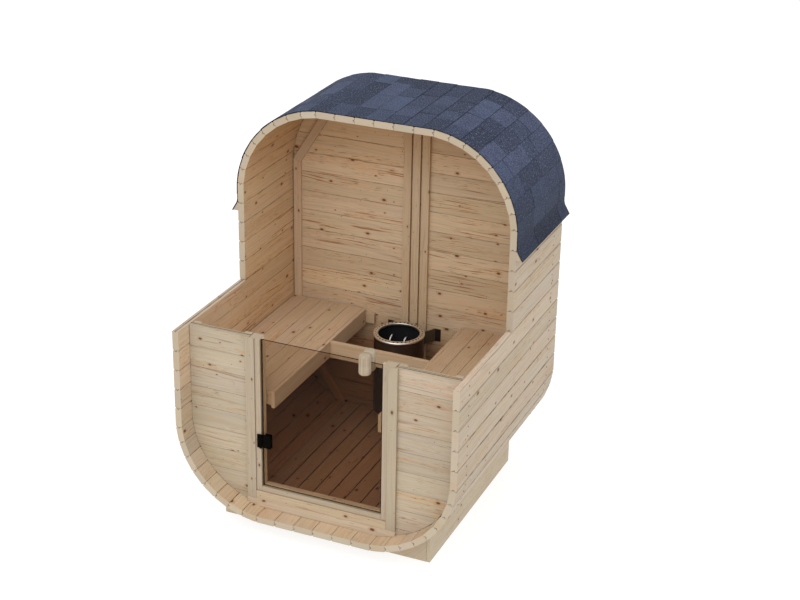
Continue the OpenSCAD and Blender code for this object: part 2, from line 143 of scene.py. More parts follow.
def boards_mesh(name, sets):
    """Joins sets of (rings, grain axis, marks) into one mesh with the map grain and the
    face values board, end, groove and indoor. The marks are the last two of these for
    every side face, or for each side face of a ring. A path that comes back to its
    first ring is a closed loop and has no end faces."""
    points, faces, uvs, values, first = [], [], [], [], 0
    for rings, axis, marks in sets:
        axis = np.asarray(axis, float) / np.linalg.norm(axis)
        b, k, m, _ = rings.shape
        sides, low, high = ring_faces(rings, first)
        uv_sides, uv_low, uv_high = grain_map(rings, axis)
        tone = dice.random(b)
        marks = np.zeros(2) if marks is None else np.asarray(marks, float)
        marks = np.broadcast_to(marks, (b, k - 1, m, 2)).reshape(-1, 2).T
        side_tone = np.broadcast_to(tone[:, None, None], (b, k - 1, m)).ravel()
        zero, one = np.zeros(b), np.ones(b)
        faces += sides.reshape(-1, 4).tolist()
        uvs.append(uv_sides.reshape(-1, 2))
        values.append(np.stack([side_tone, np.zeros(len(side_tone)), *marks]))
        if not np.allclose(rings[:, 0], rings[:, -1]):
            faces += low.tolist() + high.tolist()
            uvs += [uv_low.reshape(-1, 2), uv_high.reshape(-1, 2)]
            values += [np.stack([tone, one, zero, zero])] * 2
        points.append(to_metres(rings).reshape(-1, 3))
        first += b * k * m
    mesh = bpy.data.meshes.new(name)
    mesh.from_pydata(np.concatenate(points).tolist(), [], faces)
    layer = mesh.uv_layers.new(name="grain")
    layer.data.foreach_set("uv", (np.concatenate(uvs) * MM).ravel())
    for label, row in zip(FACE_MARKS, np.concatenate(values, axis=1)):
        mesh.attributes.new(label, "FLOAT", "FACE").data.foreach_set("value", row)
    weld(mesh)
    return mesh


def weld(mesh):
    """Joins corners that fall together, which also takes away faces without area."""
    work = bmesh.new()
    work.from_mesh(mesh)
    bmesh.ops.remove_doubles(work, verts=work.verts, dist=WELD)
    bmesh.ops.dissolve_degenerate(work, edges=work.edges, dist=WELD)
    volume = work.calc_volume(signed=True)
    work.to_mesh(mesh)
    work.free()
    print(f"{mesh.name}: {len(mesh.polygons)} faces, {volume * 1000:.2f} litres")


def add_piece(name, sets, finish, nodes=(), body="sauna"):
    """Puts sets of boards into the scene as one piece on a body, and gives its mesh."""
    mesh = boards_mesh(name, sets)
    piece = bpy.data.objects.new(name, mesh)
    bpy.context.scene.collection.objects.link(piece)
    mesh.materials.append(finish)
    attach(piece, body)
    if nodes:
        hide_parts(*nodes)
    return mesh


# %% [markdown]
# ## Node helpers
# Materials are built from nodes in code. A wire stands for one output of a node, and it
# can be reckoned with like a number: wire * 2 + 1 adds two Math nodes to the same tree.

# %% Node helpers


class Wire:
    """One output of a new shader node, whose inputs are values or other wires."""

    def __init__(self, tree, kind, inputs=None, output=0, **settings):
        prefix = "" if kind.startswith("NodeGroup") else "ShaderNode"
        self.tree, self.node = tree, tree.nodes.new(prefix + kind)
        for key, value in settings.items():
            setattr(self.node, key, value)
        for key, value in (inputs or {}).items():
            fill(self.node.inputs[key], value)
        self.socket = self.node.outputs[output]

    def into(self, socket):
        """Leads the wire to an input."""
        self.tree.links.new(self.socket, socket)

    def other(self, output):
        """Another output of the same node."""
        twin = copy.copy(self)
        twin.socket = self.node.outputs[output]
        return twin

    def calc(self, operation, *terms):
        """One step of arithmetic."""
        return Wire(self.tree, "Math", dict(enumerate((self, *terms))), operation=operation)

    __add__, __sub__ = partialmethod(calc, "ADD"), partialmethod(calc, "SUBTRACT")
    __mul__, __truediv__ = partialmethod(calc, "MULTIPLY"), partialmethod(calc, "DIVIDE")
    __pow__ = partialmethod(calc, "POWER")

    def vector(self, operation, *terms, output=0):
        """One step of arithmetic on vectors."""
        inputs = dict(enumerate((self, *terms)))
        return Wire(self.tree, "VectorMath", inputs, output, operation=operation)

    def clamped(self):
        """The value, kept between 0 and 1."""
        return Wire(self.tree, "Clamp", {0: self})

    def parts(self):
        """The three parts of a vector."""
        first = Wire(self.tree, "SeparateXYZ", {0: self})
        return first, first.other(1), first.other(2)

    def ramp(self, low, high, start=0.0, end=1.0):
        """A soft step: start below low, end above high."""
        limits = {0: self, 1: low, 2: high, 3: start, 4: end}
        return Wire(self.tree, "MapRange", limits, interpolation_type="SMOOTHSTEP")

    def noise(self, scale, detail=2.0, rough=0.5):
        """Noise with its own scale in each direction, flat where there are two."""
        flat = len(scale) == 2
        spot = self.vector("MULTIPLY", (*scale, 1.0) if flat else scale)
        inputs = {"Vector": spot, "Scale": 1.0, "Detail": detail, "Roughness": rough}
        return Wire(self.tree, "TexNoise", inputs, noise_dimensions="2D" if flat else "3D")

    def mix(self, first, second):
        """A colour between two, as far as this wire's value says."""
        inputs = {0: self, 6: first, 7: second}
        return Wire(self.tree, "Mix", inputs, 2, data_type="RGBA")

    def tinted(self, tint, amount=1.0):
        """This colour times a tint, as far as the amount says."""
        inputs = {0: amount, 6: self, 7: tint}
        return Wire(self.tree, "Mix", inputs, 2, data_type="RGBA", blend_type="MULTIPLY")


def fill(socket, value):
    """Gives an input a wire or a value. A plain colour gets an alpha of 1."""
    if isinstance(value, Wire):
        value.into(socket)
    else:
        socket.default_value = (*value, 1) if socket.type == "RGBA" else value


def face_mark(tree, label):
    """A value that the faces of a mesh carry."""
    return Wire(tree, "Attribute", output="Fac", attribute_name=label)


def object_place(tree):
    """The place in the object's own coordinates, in metres."""
    return Wire(tree, "TexCoord", output="Object")


def new_group(name, inputs, outputs):
    """An empty shader node group: its tree, a wire per input, and its outputs."""
    group = bpy.data.node_groups.new(name, "ShaderNodeTree")
    for label, default in inputs.items():
        kind = "NodeSocketColor" if isinstance(default, tuple) else "NodeSocketFloat"
        socket = group.interface.new_socket(label, in_out="INPUT", socket_type=kind)
        socket.default_value = default
    for label in outputs:
        kind = "NodeSocketColor" if label == "Color" else "NodeSocketFloat"
        group.interface.new_socket(label, in_out="OUTPUT", socket_type=kind)
    entry = Wire(group, "NodeGroupInput")
    given = {label: entry.other(label) for label in inputs}
    return group, given, group.nodes.new("NodeGroupOutput").inputs


def new_finish(name, **values):
    """A material with one Principled shader and fixed values on its own sockets."""
    finish = bpy.data.materials.new(name)
    finish.use_nodes = True
    shader = finish.node_tree.nodes["Principled BSDF"].inputs
    for key, value in values.items():
        fill(shader[key.replace("_", " ")], value)
    return finish, finish.node_tree, shader


# %% [markdown]
# Metal, glass and rubber are never of one even colour. They share a small node group: a
# cloudy noise that goes between two tones, and makes the paler spots a little rougher.

# %% Mottle group


def mottle_group():
    """A colour between two tones and a roughness, both from one noise."""
    tree, given, out = new_group(
        "two_tone_mottle",
        {"Low": (0.3, 0.3, 0.3, 1), "High": (0.4, 0.4, 0.4, 1), "Scale": 40.0, "Rough": 0.5},
        ["Color", "Roughness"],
    )
    inputs = {"Vector": object_place(tree), "Scale": given["Scale"]}
    inputs |= {"Detail": 3.0, "Roughness": 0.6}
    cloud = Wire(tree, "TexNoise", inputs, noise_dimensions="3D")
    cloud.mix(given["Low"], given["High"]).into(out["Color"])
    (given["Rough"] + cloud.ramp(0.3, 0.7, 0.0, 0.08)).into(out["Roughness"])
    return tree


mottle = mottle_group()


def mottled(tree, low, high, scale, rough=0.5):
    """One use of the mottle: its Color, with Roughness beside it."""
    values = {"Low": low, "High": high, "Scale": scale, "Rough": rough}
    return Wire(tree, "Group", values, "Color", node_tree=mottle)


def plain_finish(name, low, high, scale, rough, **values):
    """A material of one colour with the slight mottle."""
    finish, tree, shader = new_finish(name, **values)
    look = mottled(tree, low, high, scale, rough)
    look.into(shader["Base Color"])
    look.other("Roughness").into(shader["Roughness"])
    return finish


# %% [markdown]
# ## Spruce
# The sauna is planed knotty spruce: pale, with soft darker growth lines along the board,
# brown knots that push the lines aside, and thin reddish resin streaks. The lines are
# noise stretched along the map grain. The knots are the cell points of a stretched
# Voronoi pattern, each with its own size, and some cells stay empty. A number per board
# shifts the pattern and the tone, so no two boards look alike. A sawn end shows rings
# round a pith instead. Tints by place are painted light and shade: light that comes back
# from other boards, painted shade under the benches and in the vault, painted light in
# front of the door, on the porch, on the frame's sawn ends and on saw cuts. Grooves and
# gaps get dust and painted shade.

# %% Spruce group
SHIFT_U, SHIFT_V, TONES = 31.7, 57.3, (7.31, 17.77)
KNOT_CELL, SPECK_CELL, SPECK_SHARE = (0.30, 0.080, 1.0), (0.085, 0.050, 1.0), 0.16
BENCH_SHADE, VAULT_SHADE, FORE_LIGHT = (0.50, 0.92), (1.62, 2.12), (-0.28, 0.12)
WARM, GREY = (1.0, 0.84, 0.68), (0.93, 0.97, 1.04)
RESIN, AMBER, DASH = (0.275, 0.135, 0.058), (0.56, 0.31, 0.12), (0.19, 0.10, 0.05)
HALO, KNOT_EDGE, KNOT_HEART = (0.66, 0.40, 0.25), (0.36, 0.16, 0.09), (0.12, 0.055, 0.035)
LOW_TINT, FORE_TINT, VAULT_TINT = (0.50, 0.32, 0.24), (1.13, 1.16, 1.27), (0.80, 0.68, 0.53)
PORCH_LIGHT_TINT, SAW_CUT_LIGHT_TINT = (1.46, 1.28, 1.13), (1.28, 1.31, 1.43)
DUST_AND_SHADE, GAP_SHADE = (0.115, 0.056, 0.027), (0.012, 0.007, 0.004)


def scattered(spot, cell):
    """Random points, one per cell: the way from the nearest one, and its lots."""
    inputs = {"Vector": spot.vector("DIVIDE", cell), "Scale": 1.0}
    point = Wire(spot.tree, "TexVoronoi", inputs, "Color", voronoi_dimensions="2D")
    away = inputs["Vector"].vector("SUBTRACT", point.other("Position"))
    return away.vector("MULTIPLY", cell), Wire(spot.tree, "SeparateColor", {0: point})


def spruce_group():
    """Colour, roughness and height of knotty spruce from the map grain."""
    tree, given, out = new_group(
        "knotty_spruce",
        {label: (1.0, 1.0, 1.0, 1.0) for label in ("Pale", "Line", "Indoor")}
        | {"Knots": 0.5, "Streaks": 0.6, "Variety": 0.14, "Ends": 1.0},
        ["Color", "Roughness", "Height"],
    )
    board, end, groove, indoor = (face_mark(tree, label) for label in FACE_MARKS)
    grain = Wire(tree, "UVMap", uv_map="grain")
    shift = Wire(tree, "CombineXYZ", {0: board * SHIFT_U, 1: board * SHIFT_V})
    spot = grain.vector("ADD", shift)
    second, third = ((board * factor).calc("FRACT") for factor in TONES)
    off_end, room = end * -1.0 + 1.0, indoor.clamped()

    # knots: cell points, each with its own size, and some cells are empty
    away, lot = scattered(spot, KNOT_CELL)
    du, dv, _ = away.parts()
    radius = lot**1.5 * 0.0062 + 0.0028
    chance = given["Knots"] * (room * 0.5 + 1.0)
    there = chance.calc("GREATER_THAN", lot.other(1)) * off_end
    far = ((du / 1.6) ** 2.0 + dv**2.0).calc("SQRT") / radius
    core = there * far.ramp(0.7, 1.2, 1.0, 0.0)
    halo = there * far.ramp(0.8, 2.8, 0.5, 0.0)
    push = there * far.ramp(0.6, 4.5, 0.9, 0.0) * (dv.calc("SIGN") * radius)

    # specks: much smaller cells, of which few hold a pin knot
    away, lot = scattered(spot, SPECK_CELL)
    miss = away.vector("LENGTH", output="Value")
    speck = lot.calc("LESS_THAN", SPECK_SHARE) * off_end * miss.ramp(0.0016, 0.0034, 1.0, 0.0)

    # growth lines, pushed aside by the knots and by a slow waver
    waver = spot.noise((1.3, 9.0), 1.0) * 0.05 - 0.025
    u, v, _ = spot.parts()
    along = Wire(tree, "CombineXYZ", {0: u, 1: v + waver - push})
    broad = along.noise((1.0, 95.0), 3.0, 0.6).ramp(0.36, 0.72)
    fine = along.noise((6.0, 640.0), 1.0).ramp(0.3, 0.75)
    line = broad * 0.50 + fine * 0.34

    # sawn ends: rings round a pith that lies outside the board
    pith = Wire(tree, "CombineXYZ", {0: second * 0.16 - 0.08, 1: third * 0.10 - 0.12})
    off_pith = grain.vector("SUBTRACT", pith).vector("LENGTH", output="Value")
    ring = Wire(tree, "TexNoise", {"W": off_pith * 210.0}, noise_dimensions="1D")
    line = Wire(tree, "Mix", {0: end, 2: line, 3: ring.ramp(0.36, 0.68) * 0.45})

    # colours: pale wood, growth lines, warm and grey clouds
    cloud, clouds = spot.noise((1.8, 12.0)), given["Variety"] * 7.0
    colour = (line * 0.8).mix(given["Pale"], given["Line"])
    colour = colour.tinted(WARM, clouds * cloud.ramp(0.52, 0.78, 0.0, 0.40))
    colour = colour.tinted(GREY, clouds * cloud.ramp(0.22, 0.46, 0.65, 0.0))

    # resin, amber streaks outdoors and short dark dashes along the grain
    patch = spot.noise((1.5, 13.0), 1.0).ramp(0.53, 0.65)
    streak = along.noise((2.4, 122.0), 2.0, 0.6).ramp(0.56, 0.67) * patch
    vivid = given["Streaks"] * (room * 0.65 + 0.45) * off_end
    colour = (streak * vivid).mix(colour, RESIN)
    amber = along.noise((1.7, 64.0), 2.0, 0.6).ramp(0.67, 0.74, 0.0, 0.8) * off_end
    colour = (amber * (given["Streaks"] - room)).mix(colour, AMBER)
    dash = along.noise((13.0, 330.0), 1.0).ramp(0.65, 0.75) * cloud.ramp(0.42, 0.60)
    colour = (dash * (chance * 1.6 * off_end)).mix(colour, DASH)

    # knots: a reddish halo and a dark heart
    dark = far.ramp(0.1, 0.9, 0.2, 1.0).mix(KNOT_EDGE, KNOT_HEART).tinted(given["Pale"])
    colour = halo.mix(colour, given["Pale"].tinted(HALO))
    colour = (core * 0.95).mix(colour, dark)
    colour = (speck * 0.8).mix(colour, dark)
    tone = {
        "Hue": second * 0.010 + 0.495,
        "Saturation": (third - 0.5) * given["Variety"] + 1.0,
        "Value": (board - 0.5) * given["Variety"] + 1.0,
    }
    colour = Wire(tree, "HueSaturation", {**tone, "Color": colour})

    # painted light and shade: warm indoors, deep under the benches, dim in the vault, bright in
    # front and on the porch
    _, depth, height = object_place(tree).parts()
    above = height.ramp(BENCH_SHADE[1] - 0.06, BENCH_SHADE[1])
    colour = colour.tinted(given["Indoor"], room)
    colour = colour.tinted(LOW_TINT, (indoor - room) * height.ramp(*BENCH_SHADE, 1.0, 0.0))
    colour = colour.tinted(FORE_TINT, room * depth.ramp(*FORE_LIGHT, 1.0, 0.0) * above)
    colour = colour.tinted(VAULT_TINT, height.ramp(*VAULT_SHADE) * off_end)
    colour = colour.tinted(PORCH_LIGHT_TINT, (indoor * -1.0).clamped())
    # painted light: sawn ends are made lighter by a factor, for tops lit from above
    lift = (given["Ends"] - 1.0) * end + 1.0
    colour = Wire(tree, "HueSaturation", {"Value": lift, "Color": colour})
    # painted light on the level saw cuts, which face up
    colour = colour.tinted(SAW_CUT_LIGHT_TINT, (groove * -1.0).clamped())

    # grooves get dust and painted shade, more in some places than in others
    dust_and_shade = groove * spot.noise((12.0, 6.0)).ramp(0.38, 0.64, 0.30, 1.15)
    # marks above 1 turn to a near-black colour: painted shade in gaps, notches and joints
    colour = (groove - 1.0).clamped().mix(dust_and_shade.mix(colour, DUST_AND_SHADE), GAP_SHADE)
    colour.into(out["Color"])
    (line * 0.12 + 0.56).into(out["Roughness"])
    (line * -0.5 + core * 0.6).into(out["Height"])
    return tree


spruce = spruce_group()

# %% [markdown]
# Each wooden slot of the record gets the group with its own colours, and its own share
# of knots, streaks and variety.

# %% Wood finishes
INDOOR, STAVES_INDOOR = (1.41, 1.31, 1.18), (1.42, 1.24, 1.03)


def wood_finish(slot, pale, line, knots, streaks, variety, label="planed_", **extra):
    """One spruce material for a slot of the record: the group feeds colour, roughness
    and a shallow bump."""
    finish, tree, shader = new_finish(label + slot, Specular_IOR_Level=0.30)
    finish["slot"] = slot
    values = {"Pale": pale, "Line": line, "Indoor": INDOOR}
    values |= {"Knots": knots, "Streaks": streaks, "Variety": variety, **extra}
    wood = Wire(tree, "Group", values, "Color", node_tree=spruce)
    relief = {"Strength": 0.35, "Distance": 0.0006, "Height": wood.other("Height")}
    wood.into(shader["Base Color"])
    wood.other("Roughness").into(shader["Roughness"])
    Wire(tree, "Bump", relief).into(shader["Normal"])
    return finish


PALE, LINE = (0.505, 0.418, 0.308), (0.362, 0.274, 0.176)
# room colours, paler and warmer: painted light that comes back from the boards of the room
ROOM_LIT_PALE, ROOM_LIT_LINE = (0.640, 0.485, 0.325), (0.500, 0.335, 0.190)
BENCH_PALE, BENCH_LINE = (0.570, 0.428, 0.285), (0.440, 0.296, 0.170)
# floor colours, much darker: painted shade deep in the room and behind the glass
FLOOR_SHADED_PALE, FLOOR_SHADED_LINE = (0.340, 0.178, 0.093), (0.250, 0.116, 0.053)
FRAME_PALE, SILL_LIT_PALE = (0.445, 0.364, 0.264), (0.620, 0.508, 0.368)
HANDLE_PALE, HANDLE_LINE = (0.505, 0.421, 0.308), (0.28, 0.21, 0.13)
stave_wood = wood_finish("stave_wood", PALE, LINE, 0.40, 0.80, 0.12, Indoor=STAVES_INDOOR)
wall_wood = wood_finish("wall_wood", PALE, LINE, 0.45, 1.30, 0.16)
# the sill board is a paler copy of the wall wood: painted light
sill_wood = wood_finish("wall_wood", SILL_LIT_PALE, LINE, 0.35, 0.45, 0.06, "bright_")
# the frame's sawn ends get painted light
frame_wood = wood_finish("frame_wood", FRAME_PALE, LINE, 0.32, 0.60, 0.06, Ends=1.14)
stop_wood = wood_finish("frame_wood", ROOM_LIT_PALE, ROOM_LIT_LINE, 0.32, 0.60, 0.06, "room_lit_")
batten_wood = wood_finish("batten_wood", ROOM_LIT_PALE, ROOM_LIT_LINE, 0.34, 0.60, 0.08)
eave_wood = wood_finish("batten_wood", PALE, LINE, 0.30, 0.45, 0.08, "outdoor_")
bench_wood = wood_finish("bench_wood", BENCH_PALE, BENCH_LINE, 0.36, 0.85, 0.10)
floor_wood = wood_finish("floor_wood", FLOOR_SHADED_PALE, FLOOR_SHADED_LINE, 0.95, 0.30, 0.04)
base_wood = wood_finish("base_wood", PALE, LINE, 0.30, 0.45, 0.08)
handle_wood = wood_finish("handle_wood", HANDLE_PALE, HANDLE_LINE, 0.0, 0.45, 0.06)
print("wood finishes ready")

# %% [markdown]
# ## The ring of staves
# Sixty-four staves stand side by side in a ring: straight runs below, above and at the
# sides, and eight narrow staves in each rounded corner, which turn by ten degrees from
# one to the next. Their joints lie on one walk round the ring, a running sum of widths
# and angles. Every stave has a mitred edge on both sides, a tongue on one and a groove
# on the other. All sixty-four outlines come out of one array.

# %% Stave outlines
SHELL_W, SHELL_H, SHELL_L = 1700.0, 2195.0, 1580.0
STAVE_T, CORNER_C, BASE_Z = 38.0, 95.3, 99.0
FLAT_N, SIDE_N, CORNER_N, TURN = 6, 10, 8, 10.0
CUT_Z, CUT_Y = 1191.0, 782.0
TONGUE, PLAY, MOUTH = 6.0, 2.0, 1.5
OUT_BEVEL, IN_BEVEL, SEAM, FIT = 5.5, 2.2, 0.6, 0.5
GROOVE_AT, TONGUE_AT = (0.35, 0.41, 0.59, 0.65), (0.38, 0.44, 0.56, 0.62)
WALL_IN, WALL_T = 119.0, 38.0
Y_F0, Y_F1 = WALL_IN, WALL_IN + WALL_T
Y_B0, Y_B1 = SHELL_L - WALL_IN - WALL_T, SHELL_L - WALL_IN
BENCH_Z, FLARE_H, KINK_DROP = 853.0, 63.0, 113.0

bend = TURN * np.arange(1, CORNER_N + 1)
reach = CORNER_C * np.cos(np.radians(bend)).sum()
KINK_Z = BASE_Z + SHELL_H - reach - KINK_DROP
runs = [(FLAT_N, (SHELL_W - 2 * reach) / FLAT_N), (SIDE_N, (SHELL_H - 2 * reach) / SIDE_N)] * 2
turns = np.concatenate(
    [np.r_[np.full(n, 90.0 * q), 90.0 * q + bend] for q, (n, _) in enumerate(runs)]
)
widths = np.concatenate([np.r_[np.full(n, c), np.full(CORNER_N, CORNER_C)] for n, c in runs])


def unit(degrees):
    """Unit vectors of angles, last axis x and z."""
    a = np.radians(degrees)
    return np.stack([np.cos(a), np.sin(a)], axis=-1)


def spokes(n):
    """Unit vectors all round, n of them."""
    return unit(np.arange(n) * 360.0 / n)


walk = np.cumsum(widths[:, None] * unit(turns), axis=0)
joints = np.array([reach - SHELL_W / 2, BASE_Z]) + np.vstack([np.zeros(2), walk[:-1]])
before = np.roll(turns, 1) - np.r_[360.0, np.zeros(len(turns) - 1)]
middle, half = (before + turns) / 2, (turns - before) / 2
mitre = unit(middle)
inner = np.stack([-mitre[:, 1], mitre[:, 0]], axis=-1) / np.cos(np.radians(half))[:, None]


def inward(depth):
    """The joint points moved inwards along their mitres."""
    return joints + depth * inner


def stave_outlines(seam):
    """Sixteen corners of every stave: outer face, tongue side, inner face, groove
    side. The tongue is a little smaller than the groove it goes into, and the seam is
    narrowest at the faces."""
    t, s, u = STAVE_T, seam / 2, unit(turns)
    wide = s + MOUTH
    here, there = mitre, np.roll(mitre, -1, axis=0)

    def at(depth):
        return inward(depth), np.roll(inward(depth), -1, axis=0)

    (a0, b0), (a1, b1), (a6, b6), (a7, b7) = (at(d) for d in (0, OUT_BEVEL, t - IN_BEVEL, t))
    a2, a3, a4, a5 = (at(share * t)[0] for share in GROOVE_AT)
    b2, b3, b4, b5 = (at(share * t)[1] for share in TONGUE_AT)
    outer, inner_edge = OUT_BEVEL + s, IN_BEVEL + s
    tip, pocket = TONGUE - PLAY, TONGUE + PLAY
    return np.stack(
        [
            a0 + outer * u, b0 - outer * u, b1 - s * there, b2 - wide * there,
            b3 + tip * there, b4 + tip * there, b5 - wide * there, b6 - s * there,
            b7 - inner_edge * u, a7 + inner_edge * u, a6 + s * here, a5 + wide * here,
            a4 + pocket * here, a3 + pocket * here, a2 + wide * here, a1 + s * here,
        ],
        axis=1,
    )


outlines = stave_outlines(SEAM)
# groove marks: dust and painted shade, more indoors and under the benches; BLACK marks get
# near-black painted shade
OUT_DUST_SHADE, IN_DUST_SHADE, LOW_DUST_SHADE, BLACK = 0.20, 0.42, 2.6, 2.0
groove_side = np.r_[0, OUT_DUST_SHADE, np.full(6, IN_DUST_SHADE), 0, np.full(6, IN_DUST_SHADE), OUT_DUST_SHADE]
inner_side = np.isin(np.arange(16), [7, 8, 9])
STAVE_MARKS = np.roll(np.stack([groove_side, inner_side], axis=-1)[::-1], -1, axis=0)


def carried(outline, *depths):
    """Outlines in x and z carried through several depths. The order of the corners is
    turned round, so that the faces look outwards."""
    return np.stack([lifted(outline[:, ::-1], y, Y) for y in depths], axis=1)


ALONG_Y = (0, 1, 0)
i_br, i_right = FLAT_N, FLAT_N + CORNER_N
i_tr = i_right + SIDE_N
i_top = i_tr + CORNER_N
i_tl = i_top + FLAT_N
i_left = i_tl + CORNER_N
i_bl = i_left + SIDE_N
print("ring:", len(turns), "staves, reach of a corner", round(reach, 1), "mm")

# %% [markdown]
# The lower half keeps staves of full length. One stave on each side is cut level at the
# front. It is still one profile on one path: the path has two rings at the same depth,
# the first one pressed flat at the cut, and the step between them is the notch.

# %% Stave pieces
whole = {
    "bottom_staves": (0, i_br, 0.0),
    "bottom_corner_right": (i_br, i_right, 0.0),
    "top_corner_right": (i_tr, i_top, CUT_Y),
    "top_staves": (i_top, i_tl, CUT_Y),
    "top_corner_left": (i_tl, i_left, CUT_Y),
    "bottom_corner_left": (i_bl, len(turns), 0.0),
}
PORCH, HIDDEN, ROOM, OPEN = range(4)
SHADED, SAW_CUT, PORCH_LIGHT_MARKS = 2.0, (-1.0, 0.0), (-0.7, 0.55)


def stave_marks(group, kinds):
    """Marks of staves, with a kind for each stretch between two rings. Faces in the room
    count 1, or 2 in the shade below the benches, where the grooves get more painted shade.
    In front of the door the mark rises with the height, from below 0, which is paler:
    painted light. The strips behind the ends of the wall boards get dark painted shade,
    and the notches under the roof black painted shade."""
    groove, indoor = STAVE_MARKS.T
    kinds, heights = np.broadcast_to(kinds, (len(group), len(kinds))), group[..., 1]
    low_room = (kinds == ROOM) & (heights.max(axis=1)[:, None] < BENCH_Z)
    porch = np.interp(heights.mean(axis=1), [BASE_Z, BENCH_Z], PORCH_LIGHT_MARKS)
    indoors = np.where(kinds == PORCH, porch[:, None], kinds == ROOM)
    indoors = np.where(low_room, SHADED, indoors)
    roofed = heights.min(axis=1) > KINK_Z - FLARE_H
    dust_and_shade = groove + indoor * (kinds == HIDDEN)[..., None]
    dust_and_shade = dust_and_shade * np.where(low_room, LOW_DUST_SHADE, 1.0)[..., None]
    dust_and_shade = dust_and_shade + BLACK * (groove == OUT_DUST_SHADE) * roofed[:, None, None]
    return np.stack([dust_and_shade, indoor * indoors[..., None]], axis=-1)


def stave_set(group, y_start):
    """Staves from a depth to the rear ends, with rings at the faces of both walls."""
    depths = np.array([0.0, Y_F0, Y_F1, CUT_Y, Y_B0, Y_B1, SHELL_L])
    kinds = np.array([PORCH, HIDDEN, ROOM, ROOM, HIDDEN, OPEN])
    kept = depths >= y_start
    return carried(group, *depths[kept]), ALONG_Y, stave_marks(group, kinds[kept[:-1]])


def board_piece(node, finish, *sets):
    """A wooden node made again. Its finish knows the slot."""
    return add_piece(node + "_boards", sets, finish, [node])


for node, (first, last, y_start) in whole.items():
    board_piece(node, stave_wood, stave_set(outlines[first:last], y_start))

for side, first in (("right", i_right), ("left", i_left)):
    group = outlines[first : first + SIDE_N]
    low_z, high_z = group[..., 1].min(axis=1), group[..., 1].max(axis=1)
    low = group[high_z < CUT_Z]
    high = group[low_z + TONGUE + PLAY > CUT_Z]
    notched = group[(high_z >= CUT_Z) & (low_z + TONGUE + PLAY <= CUT_Z)]
    flat = notched.copy()
    flat[..., 1] = np.minimum(flat[..., 1], CUT_Z)
    cut = carried(flat, 0.0, Y_F0, Y_F1, CUT_Y)
    step = np.concatenate([cut, carried(notched, CUT_Y, Y_B0, Y_B1, SHELL_L)], axis=1)
    step_marks = stave_marks(notched, [PORCH, HIDDEN, ROOM, OPEN, ROOM, HIDDEN, OPEN])
    at_cut = flat[0, ::-1, 1] >= CUT_Z
    # the level saw cuts get the mark for painted light
    step_marks[:, :3, at_cut & np.roll(at_cut, -1)] = SAW_CUT
    step_marks[:, 3] = 0
    steps = (step, ALONG_Y, step_marks)
    board_piece(f"side_{side}_low", stave_wood, stave_set(low, 0.0), steps)
    board_piece(f"side_{side}_high", stave_wood, stave_set(high, CUT_Y))

# %% [markdown]
# ## Wall boards
# Level tongued boards fill the front beside the door and the whole back. A board's
# section is carried across the wall, and each corner of the section stops at the
# curved inside of the ring at its own height, so the end of the board follows the curve.

# %% Wall boards
BOARD_C, JOINT_Z = 122.6, 1062.0
WALL_SEAM, WALL_BEVEL, SHARP, TONGUE_SHORT = 0.4, 2.2, 0.02, 1.2
HAND_CUT = (0.3, 1.8)  # how far a hand-cut end stops short of the ring
TONGUE_GAPS, TONGUE_TOP = [11, 12, 14, 15], 13
LIPS, CORE = (0.36, 0.64), (0.42, 0.58)  # shares of the thickness beside the tongue
BATTEN_T, BATTEN_W = 21.0, 48.0
Y_FB, Y_BB = Y_F1 + BATTEN_T, Y_B0 - BATTEN_T
WALL_X = 439.5
inside = inward(STAVE_T + FIT)
right_side = inside[i_br : i_top + 1]
IN_Z0, IN_Z1 = right_side[0, 1], right_side[-1, 1]
FIRST_Z = JOINT_Z - BOARD_C * math.floor((JOINT_Z - IN_Z0) / BOARD_C)
ALONG_X, ALONG_Z = (1, 0, 0), (0, 0, 1)


def inside_x(z):
    """Half the clear width of the ring at a height."""
    return np.interp(z, right_side[:, 1], right_side[:, 0])


def inside_floor(x):
    """Height of the inside of the ring above a distance from the middle."""
    lower = right_side[: CORNER_N + 1]
    return np.interp(np.abs(x), lower[:, 0], lower[:, 1])


def board_section(z0, z1, groove, tongue, bevel_top):
    """Section of level boards in depth and height, with a groove below, a tongue on
    top and levels on both faces for the curved ends."""
    t, s, c, levels = WALL_T, WALL_SEAM / 2, WALL_BEVEL, np.linspace(0, 1, 5)
    low, high = z0 + s, z1 - s
    b = np.where(bevel_top, c, SHARP)
    face = (low + c)[:, None] + (high - b - low - c)[:, None] * levels
    one = np.ones_like(low)
    (l0, l1), (c0, c1) = np.multiply(LIPS, t), np.multiply(CORE, t)
    bed, tip = low + groove, high + tongue
    below = [(c, low), (l0, low), (c0, bed), (c1, bed), (l1, low), (t - c, low)]
    above = [(t - b, high), (l1, high), (c1, tip), (c0, tip), (l0, high), (b, high)]
    depth = [d * one for d, _ in below] + [t * one] * 5
    depth += [d * one for d, _ in above] + [0 * one] * 5
    height = [h for _, h in below] + list(face.T) + [h for _, h in above] + list(face.T[::-1])
    return np.stack([np.stack(depth, 1), np.stack(height, 1)], axis=-1)


wall_groove = np.tile(np.r_[np.full(5, IN_DUST_SHADE), OUT_DUST_SHADE, np.zeros(4), OUT_DUST_SHADE], 2)
wall_back = np.r_[np.zeros(5), np.ones(6), np.zeros(11)]


def wall_rows(top, lowest):
    """Lower and upper edges of the rows of boards up to a height."""
    edges = np.r_[lowest, np.arange(FIRST_Z, top - 8, BOARD_C), top]
    return edges[:-1], edges[1:]


def wall_rings(section, y_start, x_near, side):
    """The section carried from x_near to the curved side of the ring. The boards are cut
    by hand, so each stops a little short of the curve."""
    flat, short = section + [y_start, 0.0], dice.uniform(*HAND_CUT, (len(section), 1))
    x_far = np.maximum(inside_x(section[..., 1]) - short, x_near)
    near, far = (lifted(flat, side * x, X) for x in (x_near, x_far))
    return np.stack([near, far] if side > 0 else [far, near], axis=1)


